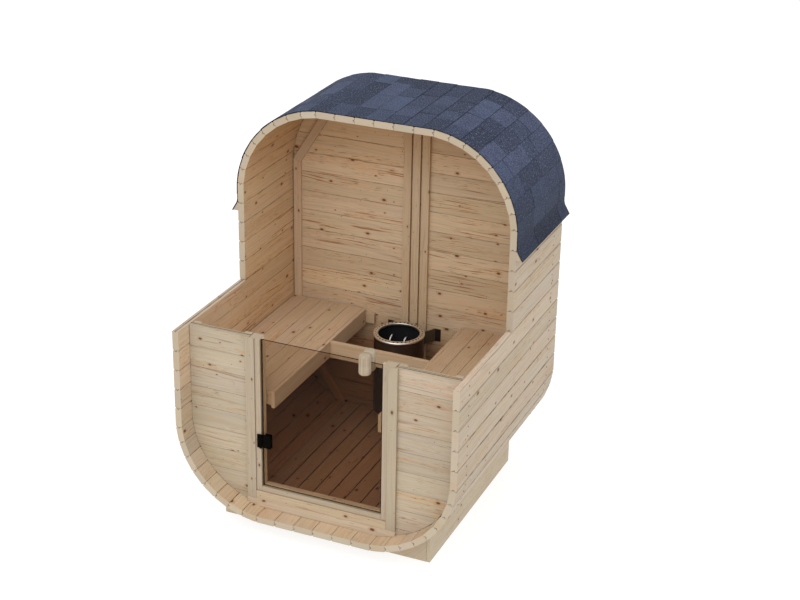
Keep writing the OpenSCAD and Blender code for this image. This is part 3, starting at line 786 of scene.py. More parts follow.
def wall_piece(node, side, y_start, x_near, lowest, top, indoor, extra=()):
    """All boards of one wall field. The marks say which of its faces is indoors."""
    z0, z1 = wall_rows(top, lowest)
    first, last = np.arange(len(z0)) == 0, np.arange(len(z0)) == len(z0) - 1
    groove = np.where(first, 0, TONGUE)
    tongue = np.where(last & (len(extra) == 0), 0, TONGUE - TONGUE_SHORT)
    section = board_section(z0, z1, groove, tongue, ~last)
    level = np.where(z1 < BENCH_Z, SHADED, 1.0)[:, None, None] * indoor
    # the grooves get dust and painted shade, more indoors
    dust_and_shade = np.where((indoor > 0) & (wall_groove > 0), IN_DUST_SHADE, wall_groove)
    dust_and_shade = np.broadcast_to(dust_and_shade, level.shape)
    marks = np.stack([dust_and_shade, level], axis=-1)
    if extra:
        # the gaps beside the tongue on the sawn top get near-black painted shade
        marks[-1, 0, TONGUE_GAPS, 0] = BLACK
        marks[-1, 0, TONGUE_TOP, 0] = 0.0
    rings = wall_rings(section, y_start, x_near, side)
    return board_piece(node, wall_wood, (rings, ALONG_X, marks), *extra)


# %% [markdown]
# The level cut runs just above a joint, so the sawn top of the front wall shows the
# tongue between the two lips of the board that was taken off. The lips are two thin
# strips of their own.

# %% Front and back walls
WALL_TOP = JOINT_Z + BOARD_C
LIP_END = {-1: 0.41 * WALL_T, 1: 0.20 * WALL_T}
front_low = inside_floor(WALL_X) + 1
for side, word in ((-1, "left"), (1, "right")):
    lip_z = np.array([WALL_TOP, WALL_TOP, CUT_Z, CUT_Z])
    lip_y = np.array([[0.2, LIP_END[side]], [WALL_T - LIP_END[1], WALL_T - 0.2]])
    lips = np.stack([lip_y[:, [0, 1, 1, 0]], np.broadcast_to(lip_z, (2, 4))], axis=-1)
    lips = wall_rings(lips, Y_F0, WALL_X, side)
    wall_piece(
        f"front_wall_{word}", side, Y_F0, WALL_X, front_low, WALL_TOP, wall_back,
        [(lips, ALONG_X, None)],
    )
    wall_piece(f"back_wall_{word}", side, Y_B0, 0.4, IN_Z0, IN_Z1, np.roll(wall_back, 11))

# %% [markdown]
# ## Loose boards
# Posts, trims, battens, benches, floor and base are straight boards with rounded edges.
# A section with small round corners is carried along the board through four rings: the
# outer two are a little smaller, which rounds the ends as well. Where a board meets the
# curved ring or a mitre, its ends are moved corner by corner.

# %% Straight boards


def rounded(a0, a1, b0, b1, r):
    """Twelve corners of a rectangle whose corners are small arcs of three points."""
    a0, a1, b0, b1 = (np.asarray(v, float)[..., None] for v in (a0, a1, b0, b1))
    spots = []
    for k, (a, b) in enumerate(((a0, b0), (a1, b0), (a1, b1), (a0, b1))):
        arc = unit(np.array([180.0, 225.0, 270.0]) + 90.0 * k)
        arc = r * (arc + math.sqrt(2) * unit(45.0 + 90.0 * k))
        spots.append(np.stack([a + arc[:, 0], b + arc[:, 1]], -1))
    return np.concatenate(spots, axis=-2)


# side faces that lie on a rounded edge or a narrow side
EDGE_FACES = [0, 1, 2, 3, 4, 6, 7, 8, 9, 10]


def planks(boxes, grain, r=1.6, low=None, high=None, dust_and_shade=0.0, shade=0.0):
    """Boards from their boxes (x0, x1, y0, y1, z0, z1). Functions low and high give the
    place of an end corner by corner, where an end isn't square. Dust and painted shade go
    on the edges, shade is the indoor mark of the whole board."""
    boxes = np.atleast_2d(np.asarray(boxes, float))
    a, b = (grain + 1) % 3, (grain + 2) % 3
    sides = [boxes[:, 2 * a], boxes[:, 2 * a + 1], boxes[:, 2 * b], boxes[:, 2 * b + 1]]
    small = rounded(sides[0] + r, sides[1] - r, sides[2] + r, sides[3] - r, r * 0.3)
    full = rounded(*sides, r)
    rings = np.zeros((len(boxes), 4, 12, 3))
    for k, (flat, move) in enumerate(((small, 0.0), (full, r), (full, -r), (small, 0.0))):
        rings[:, k, :, a], rings[:, k, :, b] = flat[..., 0], flat[..., 1]
        rings[:, k, :, grain] = boxes[:, 2 * grain + k // 2, None]
        if k < 2 and low:
            rings[:, k, :, grain] = low(rings[:, k])
        if k > 1 and high:
            rings[:, k, :, grain] = high(rings[:, k])
        rings[:, k, :, grain] += move
    marks = np.full((12, 2), [0.0, shade])
    marks[EDGE_FACES, 0] = dust_and_shade
    return rings, np.eye(3)[grain], marks


def both(boxes):
    """The boxes and their mirror images on the left."""
    boxes = np.atleast_2d(np.asarray(boxes, float))
    return np.vstack([boxes, boxes[:, [1, 0, 2, 3, 4, 5]] * [-1, -1, 1, 1, 1, 1]])


def on_ring(corners):
    """Just above the inside of the ring."""
    return inside_floor(corners[..., 0]) + FIT


DOOR_X, POST_X = 368.0, 435.0
CASING_X, TRIM_X, TRIM_W = 400.0, 401.2, 54.8
SILL_Z0, SILL_Z1, CASING_Z = 190.0, 272.0, 242.0
GLASS_Y0, GLASS_Y1 = 117.0, 125.0
STOP_W, STOP_Y = 12.0, GLASS_Y1 + 5
CASING_T, TRIM_T, MID_Z, SIDE_GAP = 10.0, 18.0, 1000.0, 6.0
END_X = inside_x(MID_Z) - SIDE_GAP
batten_y, casing_y = (Y_F1 + FIT, Y_FB), (Y_F0 - CASING_T, Y_F0)
trim_end, trim_y = TRIM_X + TRIM_W, (Y_F0 - TRIM_T, Y_F0 - FIT)
stop_x, stop_z = DOOR_X - STOP_W - FIT, SILL_Z1 + FIT
batten_x = [(WALL_X, WALL_X + BATTEN_W), (END_X - BATTEN_W, END_X)]
battens = planks(both([[*x, *batten_y, 0, CUT_Z] for x in batten_x]), Z, low=on_ring)
posts = planks(both([DOOR_X, POST_X, Y_F0 + FIT, Y_FB, 0, CUT_Z]), Z, low=on_ring)
sill = planks([-DOOR_X + FIT, DOOR_X - FIT, Y_F0 + FIT, Y_FB, SILL_Z0, SILL_Z1], X)
board_piece("front_battens", eave_wood, battens)
board_piece("door_posts", frame_wood, posts)
board_piece(
    "door_casings",
    frame_wood,
    planks(both([DOOR_X, CASING_X, *casing_y, CASING_Z, CUT_Z]), Z),
    planks([-DOOR_X + FIT, DOOR_X - FIT, *casing_y, CASING_Z, SILL_Z1], X),
)
board_piece(
    "door_trims",
    frame_wood,
    planks(both([TRIM_X, trim_end, *trim_y, SILL_Z0, CUT_Z]), Z),
    # the lower trim board carries half the indoor mark: painted light
    planks([-TRIM_X + FIT, TRIM_X - FIT, *trim_y, SILL_Z0, CASING_Z - 2], X, shade=0.5),
)
board_piece(
    "door_stops",
    stop_wood,
    planks(both([DOOR_X - STOP_W, DOOR_X - FIT, STOP_Y, Y_F1, stop_z, CUT_Z]), Z),
    planks([-stop_x, stop_x, STOP_Y, Y_F1, stop_z, stop_z + STOP_W], X),
)
board_piece("door_sill", frame_wood, sill)

# %% [markdown]
# The board under the sill and the cross boards of the base have one curved edge. Here
# the section changes along the board: at every joint of the ring a new ring of corners
# follows the curve.

# %% Boards with a curved edge


def curved_edge(stations, y0, y1, bottom, top, r=1.2):
    """A board across x whose lower and upper heights change from station to station."""
    ones = np.ones_like(stations)
    flat = rounded(y0 * ones, y1 * ones, bottom * ones, top * ones, r)
    return lifted(flat, stations[:, None], X)[None], ALONG_X, None


def stations_to(line, stop):
    """Places across x on both sides: the joints of a line, and the end of the board."""
    right = np.r_[line[line < stop], stop]
    return np.r_[-right[::-1], right]


plate_x = stations_to(right_side[: CORNER_N + 1, 0], trim_end)
behind_x = stations_to(right_side[: CORNER_N + 1, 0], DOOR_X - FIT)
board_piece(
    "sill_board",
    sill_wood,
    curved_edge(plate_x, *trim_y, inside_floor(plate_x) + FIT, SILL_Z0 - FIT),
    curved_edge(behind_x, Y_F0, Y_F1, inside_floor(behind_x) + FIT, SILL_Z0 - FIT),
)

BASE_X, BASE_T, BASE_TOP = 641.0, 21.0, 230.0
BASE_Y0, BASE_Y1 = 172.0, SHELL_L - 147.0
under = inward(-FIT)[i_br : i_br + CORNER_N + 1]


def under_ring(x):
    """Height of the underside of the ring at a distance from the middle."""
    return np.interp(np.abs(x), under[:, 0], under[:, 1])


base_sides = planks(both([BASE_X - BASE_T, BASE_X, BASE_Y0, BASE_Y1, 0, BASE_TOP]), Y, r=1.5)
rings = base_sides[0]
top_corners = rings[..., Z] > BASE_TOP / 2
rings[..., Z] = np.where(top_corners, under_ring(rings[..., X]) - FIT, rings[..., Z])
board_piece("base_sides", base_wood, base_sides)
cross_x = stations_to(under[:, 0], BASE_X - BASE_T - FIT)
cross_z = under_ring(cross_x) - FIT
cross_y = (BASE_Y0, BASE_Y1 - BASE_T)
crosses = [curved_edge(cross_x, y, y + BASE_T, 0.0, cross_z) for y in cross_y]
board_piece("base_cross", base_wood, *crosses)

# %% [markdown]
# ## Inside
# Three battens stand side by side in the middle of the back wall. In the corners an
# upright batten goes over into sloping ones at mitres. The mitre and the slope are moves
# of the end corners: the height of an end is a straight line across the batten.

# %% Back battens and braces
BRACE_A, BEND_IN, MITRE_GAP = math.radians(58.0), 46.0, 0.3
FLOOR_BEARER, FLOOR_T, FLOOR_N = 20.0, 22.0, 9
FLOOR_Z = IN_Z0 + FLOOR_BEARER + FLOOR_T
LOW_BEND = BASE_Z + reach + BEND_IN
HIGH_BEND = BASE_Z + SHELL_H - reach - BEND_IN
mitre_rise = math.tan((math.pi / 2 - BRACE_A) / 2)
BATTEN_GAP, RING_GAP = 10.0, 0.6
back_y, batten_z = (Y_BB, Y_B0 - FIT), (FLOOR_Z + 1, IN_Z1 - 1)
middle_x = (BATTEN_W + BATTEN_GAP) * np.array([-1, 0, 1]) - BATTEN_W / 2
middle = planks([[x, x + BATTEN_W, *back_y, *batten_z] for x in middle_x], Z)
corners = planks(
    both([END_X - BATTEN_W, END_X, *back_y, LOW_BEND, HIGH_BEND]),
    Z,
    low=lambda c: LOW_BEND + MITRE_GAP + (END_X - np.abs(c[..., X])) * mitre_rise,
    high=lambda c: HIGH_BEND - MITRE_GAP - (END_X - np.abs(c[..., X])) * mitre_rise,
)
board_piece("back_middle_battens", batten_wood, middle)
board_piece("back_corner_battens", batten_wood, corners)


def until_ring(start, way, stop_z):
    """Length of straight lines from their start to the inside of the ring, found as the
    first crossing on a fine row of steps, or to the height stop_z."""
    steps = np.linspace(0, 900, 1801)
    spots = start[..., None, :] + steps[:, None] * way
    clear = (spots[..., 0] <= inside_x(spots[..., 1])) & (spots[..., 1] < IN_Z1)
    clear &= spots[..., 1] > stop_z
    return steps[np.argmin(clear, axis=-1)] - RING_GAP


def brace_rings(side, upper):
    """A sloping batten: a rounded section whose corners start on the mitre and run
    along the slope until they meet the ring."""
    bend_z, turn = (HIGH_BEND, 1) if upper else (LOW_BEND, -1)
    way = np.array([-math.cos(BRACE_A), turn * math.sin(BRACE_A)])
    offset, depth = np.moveaxis(rounded(0, BATTEN_W, *back_y, 1.6), -1, 0)
    start = np.stack([END_X - offset, bend_z - turn * (offset * mitre_rise - MITRE_GAP)], axis=-1)
    length = until_ring(start, way, 0.0 if upper else FLOOR_Z + 1)
    stop = start + length[:, None] * way
    rings = np.stack([lifted(spots * [side, 1], depth, Y) for spots in (start, stop)])
    if side * turn > 0:
        rings = rings[:, ::-1]
    return rings[None], (side * way[0], 0.0, way[1]), [0.0, 0.0 if upper else SHADED]


braces = [brace_rings(side, upper) for side in (-1, 1) for upper in (True, False)]
board_piece("back_braces", batten_wood, *braces)

# %% [markdown]
# Floor, benches and the rail in front of the heater are rows of plain boards. A row is
# one array of boxes, so all its boards are made at once.

# %% Floor and benches
FLOOR_SLIT, BEARER_W, BEARER_IN, BEARER_N = 1.2, 60.0, 30.0, 3
BENCH_T, BENCH_X, BENCH_N, BENCH_SLIT = 22.0, 314.0, 5, 1.0
APRON_H, BENCH_BEARER_H, BENCH_BEARER_T = 105.0, 68.0, 28.0
HEATER_SPAN, RAIL_Y = 57.0, (887.0, 909.0)


def row(start, stop, n, slit):
    """Edges of n boards side by side, with half a gap taken off each edge."""
    edges = np.linspace(start, stop, n + 1)
    return zip(edges[:-1] + slit, edges[1:] - slit)


floor_x = SHELL_W / 2 - reach + CORNER_C * math.cos(math.radians(TURN)) - 2
floor_yz = (Y_FB + 1, Y_BB - 2, FLOOR_Z - FLOOR_T, FLOOR_Z)
floor_rows = [[*x, *floor_yz] for x in row(-floor_x, floor_x, FLOOR_N, FLOOR_SLIT)]
# the floor joints get dust and near-black painted shade
board_piece("floor_boards", floor_wood, planks(floor_rows, Y, r=2.2, dust_and_shade=1.6))
bearer_x, bearer_z = SHELL_W / 2 - reach - 8, (IN_Z0, FLOOR_Z - FLOOR_T - FIT)
bearer_y = np.linspace(Y_FB + BEARER_IN, Y_BB - BEARER_IN - BEARER_W, BEARER_N)
bearers = planks([[-bearer_x, bearer_x, y, y + BEARER_W, *bearer_z] for y in bearer_y], X)
board_piece("floor_bearers", floor_wood, bearers)

bench_x0, bench_z0 = BENCH_X + BENCH_T, BENCH_Z - BENCH_T
bench_yz = (Y_FB + 1, Y_BB - 0.5, bench_z0, BENCH_Z)
bench_rows = row(bench_x0, END_X + 1, BENCH_N, BENCH_SLIT)
benches = planks(both([[*x, *bench_yz] for x in bench_rows]), Y, r=1.8, dust_and_shade=0.14)
board_piece("bench_boards", bench_wood, benches)
apron_z = (BENCH_Z - APRON_H, BENCH_Z)
apron_y = (Y_FB - 3, Y_B0 - BENCH_BEARER_T - 1)
aprons = planks(both([BENCH_X, bench_x0, *apron_y, *apron_z]), Y, r=2.2)
board_piece("bench_aprons", bench_wood, aprons)
bearer_z = (bench_z0 - BENCH_BEARER_H, bench_z0 - FIT)
front_bearer = [bench_x0 + FIT, END_X, Y_FB + 1, Y_FB + 1 + BENCH_BEARER_T]
rear_bearer = [BENCH_X - HEATER_SPAN, END_X - BATTEN_W - 2, Y_B0 - BENCH_BEARER_T, Y_B0 - FIT]
bearers = planks(both([[*front_bearer, *bearer_z], [*rear_bearer, *bearer_z]]), X)
board_piece("bench_bearers", bench_wood, bearers)
rail = planks([-BENCH_X + FIT, BENCH_X - FIT, *RAIL_Y, *apron_z], X, r=2.2)
board_piece("guard_rail", bench_wood, rail)

# %% [markdown]
# ## Shingles
# The roof is covered with bitumen shingles with mineral grains, blue-grey, in courses
# that run from front to back. Each course lies over the one below it, and its tabs
# differ in tone and a little in thickness. The roof line is one path over the ring, an
# arc in each corner and a flared eave at both ends. A tab is a piece of that path with a
# thickness, thicker at its lower edge, carried along the depth.

# %% Roof line
FLARE_W = 35.0
arc_joints = inward(-1.0)[i_tr : i_top + 1]


def corner_arc(spots, n):
    """A circle through the first, middle and last joint of a corner, as n points."""
    a, b, c = spots[0], spots[len(spots) // 2], spots[-1]
    m = 2 * np.array([b - a, c - a])
    hub = np.linalg.solve(m, [b @ b - a @ a, c @ c - a @ a])
    angle = np.arctan2(*(np.stack([a, c]) - hub).T[::-1])
    sweep = np.linspace(angle[0], angle[1], n)
    return hub + np.linalg.norm(a - hub) * np.stack([np.cos(sweep), np.sin(sweep)], -1)


eave = np.array([[SHELL_W / 2 + 1.5 + FLARE_W, KINK_Z - FLARE_H], [SHELL_W / 2 + 1.5, KINK_Z]])
right_half = np.vstack([eave, corner_arc(arc_joints, 33)])
roof_line = np.vstack([right_half, (right_half * [-1, 1])[::-1]])
roof_step = np.linalg.norm(np.diff(roof_line, axis=0), axis=1)
roof_walk = np.r_[0, np.cumsum(roof_step)]
roof_way = np.gradient(roof_line, axis=0)
roof_out = np.stack([roof_way[:, 1], -roof_way[:, 0]], axis=-1)
roof_out /= np.linalg.norm(roof_out, axis=1)[:, None]


def on_roof(distance, lift):
    """Points at a walked distance on the roof line, lifted off it."""
    spot = np.stack([np.interp(distance, roof_walk, roof_line[:, k]) for k in (0, 1)], -1)
    out = np.stack([np.interp(distance, roof_walk, roof_out[:, k]) for k in (0, 1)], -1)
    return spot + out / np.linalg.norm(out, axis=-1, keepdims=True) * lift[..., None]


print("roof line:", round(roof_walk[-1]), "mm from eave to eave")

# %% [markdown]
# A course is a row of tabs of random length, some of them thicker. The cap course covers
# the middle of the roof, and a thin layer of felt closes the slits from below.

# %% Shingle tabs
TAB_T, THICKER, SLIT, STEP, LAP = 2.6, 0.9, 2.5, 2.4, 12.0
TAB_L, LAST_L, COURSE_W, FELT_N = (130, 290), 90.0, 117.7, 90
half_roof = roof_walk[-1] / 2
COURSE_N = round(half_roof / COURSE_W - 0.5)
COURSE = half_roof / (COURSE_N + 0.5)
TAB_MARKS, CAP_MARKS = np.zeros((16, 2)), np.zeros((16, 2))
# the strip under the next course and the lower edge get painted shadow
TAB_MARKS[[6, 15], 0] = 0.85, 1.0
CAP_MARKS[[7, 15], 0] = 1.0


def course_tabs(start, cap=False):
    """Tabs of one course. Each starts at a walked distance from its eave and reaches a
    little under the next course. Its lower edge stands a step off the roof. A cap stands
    off it at both edges."""
    ends = CUT_Y + np.cumsum(dice.uniform(*TAB_L, 8))
    ends = np.r_[CUT_Y, ends[ends < SHELL_L - LAST_L], SHELL_L]
    n = len(ends) - 1
    thick = TAB_T + dice.choice([0.0, THICKER], n)
    edge = COURSE + (0 if cap else LAP)
    walked = start + np.r_[np.linspace(0, COURSE - 9, 6), COURSE - 4, edge]
    rise = np.interp(walked, [start, start + COURSE + LAP], [STEP, STEP if cap else 0.5])
    low = on_roof(walked, rise)
    out = on_roof(walked, rise + TAB_T) - low
    upper = low + out / TAB_T * thick[:, None, None]
    flat = np.concatenate([upper, np.broadcast_to(low[::-1], (n, 8, 2))], axis=1)
    y0, y1 = ends[:-1] + SLIT / 2, ends[1:] - SLIT / 2
    y0[0], y1[-1] = CUT_Y, SHELL_L
    return flat, y0, y1


def tab_rings(flat, y0, y1, mirrored):
    """Carries the section of each tab between its own two depths."""
    flat = flat * [-1 if mirrored else 1, 1]
    rings = np.stack([lifted(flat, y[:, None], Y) for y in (y0, y1)], axis=1)
    return rings if mirrored else rings[:, :, ::-1]


tab_sets, turned_order = [], (14 - np.arange(16)) % 16
for mirrored in (False, True):
    for start in COURSE * np.arange(COURSE_N):
        marks = TAB_MARKS if mirrored else TAB_MARKS[turned_order]
        tab_sets.append((tab_rings(*course_tabs(start), mirrored), ALONG_Y, marks))
cap = tab_rings(*course_tabs(COURSE_N * COURSE, cap=True), False)
under_line = np.linspace(0, roof_walk[-1], FELT_N)
felt = [on_roof(under_line, np.full(FELT_N, lift)) for lift in (0.45, -0.35)]
felt = carried(np.concatenate([felt[0], felt[1][::-1]])[None], CUT_Y + 0.5, SHELL_L - 0.5)
tab_sets += [(cap, ALONG_Y, CAP_MARKS[turned_order]), (felt, ALONG_Y, None)]

# %% [markdown]
# The shingle finish takes its tone from the tab's number, and its mineral grains from
# fine noise with a few pale specks. Painted shadow darkens the edges of the courses and
# the slits between tabs, and painted shade the lower courses.

# %% Shingle finish
EAVE_Z, EAVE_SHADE_H = KINK_Z - FLARE_H, 640.0
TAB_DARK, TAB_PALE, TAB_COOL = (0.028, 0.037, 0.069), (0.083, 0.101, 0.180), (0.92, 1.03, 1.02)
CLOUDED, SHADOW_LINE = (0.040, 0.049, 0.080), (0.010, 0.013, 0.024)
PALE_GRAIN, DARK_GRAIN = (0.190, 0.210, 0.305), (0.009, 0.012, 0.024)


def shingle_finish():
    """Blue-grey mineral grains with a tone per tab, painted shade towards the eaves, and painted
    shadow lines.
    """
    finish, tree, shader = new_finish("mineral_shingle", Specular_IOR_Level=0.25)
    board, end, groove = (face_mark(tree, label) for label in FACE_MARKS[:3])
    place = object_place(tree)
    grain, drift = place.noise((130.0,) * 3, 3.0, 0.8), place.noise((9.0,) * 3, 3.0, 0.6)
    colour = board.mix(TAB_DARK, TAB_PALE).tinted(TAB_COOL, (board * TONES[0]).calc("FRACT"))
    colour = drift.ramp(0.3, 0.7, 0.0, 0.35).mix(colour, CLOUDED)
    colour = grain.ramp(0.53, 0.66, 0.0, 0.90).mix(colour, PALE_GRAIN)
    colour = grain.ramp(0.34, 0.48, 0.85, 0.0).mix(colour, DARK_GRAIN)
    # painted shade: darker towards the eaves
    eave_shade = place.parts()[2].ramp(EAVE_Z * MM, (EAVE_Z + EAVE_SHADE_H) * MM, 0.475, 0.92)
    colour = Wire(tree, "HueSaturation", {"Value": eave_shade, "Color": colour})
    # painted shadow on the course edges and in the slits between tabs
    shadow_line = groove.calc("MAXIMUM", end) * drift.ramp(0.35, 0.65, 0.45, 0.9)
    relief = {"Strength": 0.7, "Distance": 0.0012, "Height": grain}
    shadow_line.mix(colour, SHADOW_LINE).into(shader["Base Color"])
    grain.ramp(0.3, 0.7, 0.82, 0.95).into(shader["Roughness"])
    Wire(tree, "Bump", relief).into(shader["Normal"])
    return finish


add_piece("shingle_tabs", tab_sets, shingle_finish(), ["roof_shingles"])

# %% [markdown]
# Under each flare a wedge-shaped batten fills the angle between wall and shingles.

# %% Eave wedges
WEDGE_IN = 4.0
wedge_x, wedge_z = SHELL_W / 2 + FIT, EAVE_Z + WEDGE_IN
wedge = np.array(
    [[wedge_x, KINK_Z - WEDGE_IN], [wedge_x, wedge_z], [wedge_x + FLARE_W - WEDGE_IN, wedge_z]]
)
wedges = np.stack([wedge, (wedge * [-1, 1])[::-1]])
board_piece("eave_battens", eave_wood, (carried(wedges, CUT_Y, SHELL_L), ALONG_Y, None))

# %% [markdown]
# ## Studio
# The picture has a plain white ground and light from all around, as in a light tent. A
# white sky gives the soft light, a weak, wide sun from the front gives form, and a
# weaker one lights the right side. The floor glows a little, because a lit white ground
# swallows its own shadows. To the camera alone the sky is brighter, plain white.

# %% Floor and light
FLOOR_HALF, SKY, BACKDROP = 40.0, 0.72, 1.05
ground = bpy.data.meshes.new("studio_floor")
ground.from_pydata(
    [(-FLOOR_HALF, -FLOOR_HALF, 0), (FLOOR_HALF, -FLOOR_HALF, 0),
     (FLOOR_HALF, FLOOR_HALF, 0), (-FLOOR_HALF, FLOOR_HALF, 0)],
    [], [(0, 1, 2, 3)],
)
floor_paint, tree, shader = new_finish(
    "studio_floor", Roughness=0.9, Specular_IOR_Level=0.1, Emission_Strength=0.80,
    Emission_Color=(1, 1, 1),
)
mottled(tree, (0.30,) * 3, (0.32,) * 3, 1.0).into(shader["Base Color"])
ground.materials.append(floor_paint)
studio_floor = bpy.data.objects.new("studio_floor", ground)
bpy.context.scene.collection.objects.link(studio_floor)

world = bpy.data.worlds.new("tent")
world.use_nodes = True
air = world.node_tree.nodes["Background"].inputs
fill(air["Color"], (1, 1, 1))
seen = Wire(world.node_tree, "LightPath", output="Is Camera Ray")
(seen * (BACKDROP - SKY) + SKY).into(air["Strength"])
bpy.context.scene.world = world
LIGHTS = {
    "window": (1.20, 60, (0.06, -0.62, 0.78)),
    "side_window": (0.32, 50, (0.95, -0.15, 0.25)),
}
for name, (energy, spread, direction) in LIGHTS.items():
    sun = bpy.data.lights.new(name, "SUN")
    sun.energy = energy
    sun.angle = math.radians(spread)
    window = bpy.data.objects.new(name, sun)
    window.rotation_euler = Vector(direction).to_track_quat("Z", "Y").to_euler()
    bpy.context.scene.collection.objects.link(window)
bpy.context.scene.view_settings.view_transform = "Standard"
bpy.context.scene.view_settings.look = "None"
print("studio ready")

# %% [markdown]
# ## Door
# The door is one pane of bronze glass. The tint lies on its two faces, and the ground
# edges get a near-black finish of their own: painted shade for the dark look of the edges
# of a thick pane, where entering light is swallowed. A thin dark strip on the edge at the
# hinge is painted shade too, for the shaded slit between glass and post. To a shadow ray
# a pane is a wall, so for these rays alone its alpha is low, and the floor behind the door gets
# its light.

# %% Glass
GLASS_X, GLASS_Z0, SHADOW_ALPHA = 362.0, 279.0, 0.3
SLIT_SHADE_OUT, SLIT_SHADE_IN, SLIT_SHADE_LIP = 1.0, 4.0, 0.8
glass, tree, shader = new_finish(
    "bronze_glass", Roughness=0.0, IOR=1.12, Transmission_Weight=1.0
)
mottled(tree, (0.72, 0.65, 0.57), (0.74, 0.67, 0.59), 3.0).into(shader["Base Color"])
shadow = Wire(tree, "LightPath", output="Is Shadow Ray")
(shadow * (SHADOW_ALPHA - 1.0) + 1.0).into(shader["Alpha"])
# painted shade: a near-black finish for the pane's edges
glass_edge = plain_finish(
    "glass_edge", (0.010, 0.006, 0.004), (0.016, 0.010, 0.007), 40.0, 0.5, Specular_IOR_Level=0.06
)
slit_shade = plain_finish(
    "slit_shade_brown", (0.026, 0.015, 0.009), (0.036, 0.022, 0.014), 60.0, 0.8, Specular_IOR_Level=0.1
)
pane_set = planks([-GLASS_X, GLASS_X, GLASS_Y0, GLASS_Y1, GLASS_Z0, CUT_Z], Z, r=0.8)
pane = add_piece("glass_pane", [pane_set], glass, ["door_glass"], "door")
pane.materials.append(glass_edge)
facing = np.zeros(3 * len(pane.polygons))
pane.polygons.foreach_get("normal", facing)
pane.polygons.foreach_set("material_index", (np.abs(facing[1::3]) < 0.95).astype(int))
# painted shade: a dark strip for the shaded slit at the hinge edge
slit_shade_box = [-GLASS_X - SLIT_SHADE_OUT, -GLASS_X + SLIT_SHADE_IN, GLASS_Y0 - SLIT_SHADE_LIP, GLASS_Y1 + SLIT_SHADE_LIP]
slit_shade_set = planks([*slit_shade_box, GLASS_Z0 - 1, CUT_Z - 1], Z, r=1.0)
add_piece("glass_slit_shade", [slit_shade_set], slit_shade, (), "door")

# %% [markdown]
# The handles are short turned bars with a flat back against the glass. Their section is
# a circle with one side cut off and shallow flutes all round. Carried upwards, it gets
# smaller at both ends, which rounds the ends.

# %% Handles
HANDLE_X, HANDLE_R, HANDLE_Z, HANDLE_H = 272.0, 34.0, 1187.0, 114.0
FLAT_AT, FLUTE_N, FLUTE_DEPTH, FLUTE_DUST_SHADE = 0.78 * HANDLE_R, 19, 0.035, 0.3
RING_AT = np.array([-0.5, -0.488, -0.46, -0.40, 0.42, 0.465, 0.49, 0.5])
RING_IN = np.array([9.0, 5.0, 2.0, 0.0, 0.0, 1.5, 3.8, 6.5])
flat_angle = math.degrees(math.asin(FLAT_AT / HANDLE_R))


def handle_rings(hub_y, flat_side):
    """Rings of one handle. Each has its height and its inset from the full radius."""
    walk = np.linspace(0, 1, 4 * FLUTE_N + 1)
    flutes = 1 - FLUTE_DEPTH * (0.5 - 0.5 * np.cos(2 * np.pi * FLUTE_N * walk))
    sweep = unit(180 - flat_angle + (180 + 2 * flat_angle) * walk) * flutes[:, None]
    heights, radius = HANDLE_Z + HANDLE_H * RING_AT, HANDLE_R - RING_IN
    flat = radius[:, None, None] * sweep * [1, flat_side] + [HANDLE_X, hub_y]
    rings = lifted(flat, heights[:, None], Z)
    marks = np.zeros((1, len(RING_AT) - 1, len(walk), 2))
    # the hollows of the flutes get dust and painted shade
    marks[..., 0] = FLUTE_DUST_SHADE * np.isin(np.arange(len(walk)) % 4, [1, 2])
    return (rings if flat_side > 0 else rings[:, ::-1])[None], ALONG_Z, marks


def smooth(mesh, degrees):
    """Smooth shading, but not over edges that turn by more than an angle."""
    mesh.shade_smooth()
    mesh.set_sharp_from_angle(angle=math.radians(degrees))


for name, hub_y, flat_side in (
    ("handle_outer", GLASS_Y0 - FLAT_AT, 1),
    ("handle_inner", GLASS_Y1 + FLAT_AT, -1),
):
    bar = [handle_rings(hub_y, flat_side)]
    smooth(add_piece(name + "_bar", bar, handle_wood, [name], "door"), 40)

# %% [markdown]
# The hinge is black: a clamp on the glass, a leaf on the casing, and round knuckles on
# a pin between them. The knuckles are circles carried up the pin, with small bevels.

# %% Hinge
PIN_X, PIN_Y, HINGE_Z0, HINGE_Z1 = -366.0, 100.0, 522.0, 606.0
LEAF_X0, LEAF_X1, LEAF_T, TAB_X0 = -390.0, -374.5, 8.5, -380.0
FLANGE_X1, FLANGE_T = -359.5, 1.3
CLAMP_X0, CLAMP_X1, CLAMP_T = -358.5, -308.0, 13.0
COUNTER_X0, COUNTER_T, ARM_X1, ARM_T = -350.0, 9.0, -352.0, 5.0
THIRD = (HINGE_Z1 - HINGE_Z0) / 3


def round_bar(hub, heights, radii, n=24):
    """Circles about an upright axis, each with its own height and radius."""
    flat = np.reshape(radii, (-1, 1, 1)) * spokes(n) + hub
    return lifted(flat, np.reshape(heights, (-1, 1)), Z)[None], ALONG_Z, None


def knuckle(z0, z1):
    """One knuckle of the hinge."""
    return round_bar((PIN_X, PIN_Y), [z0, z0 + 0.8, z1 - 0.8, z1], [6.0, 6.8, 6.8, 6.0])


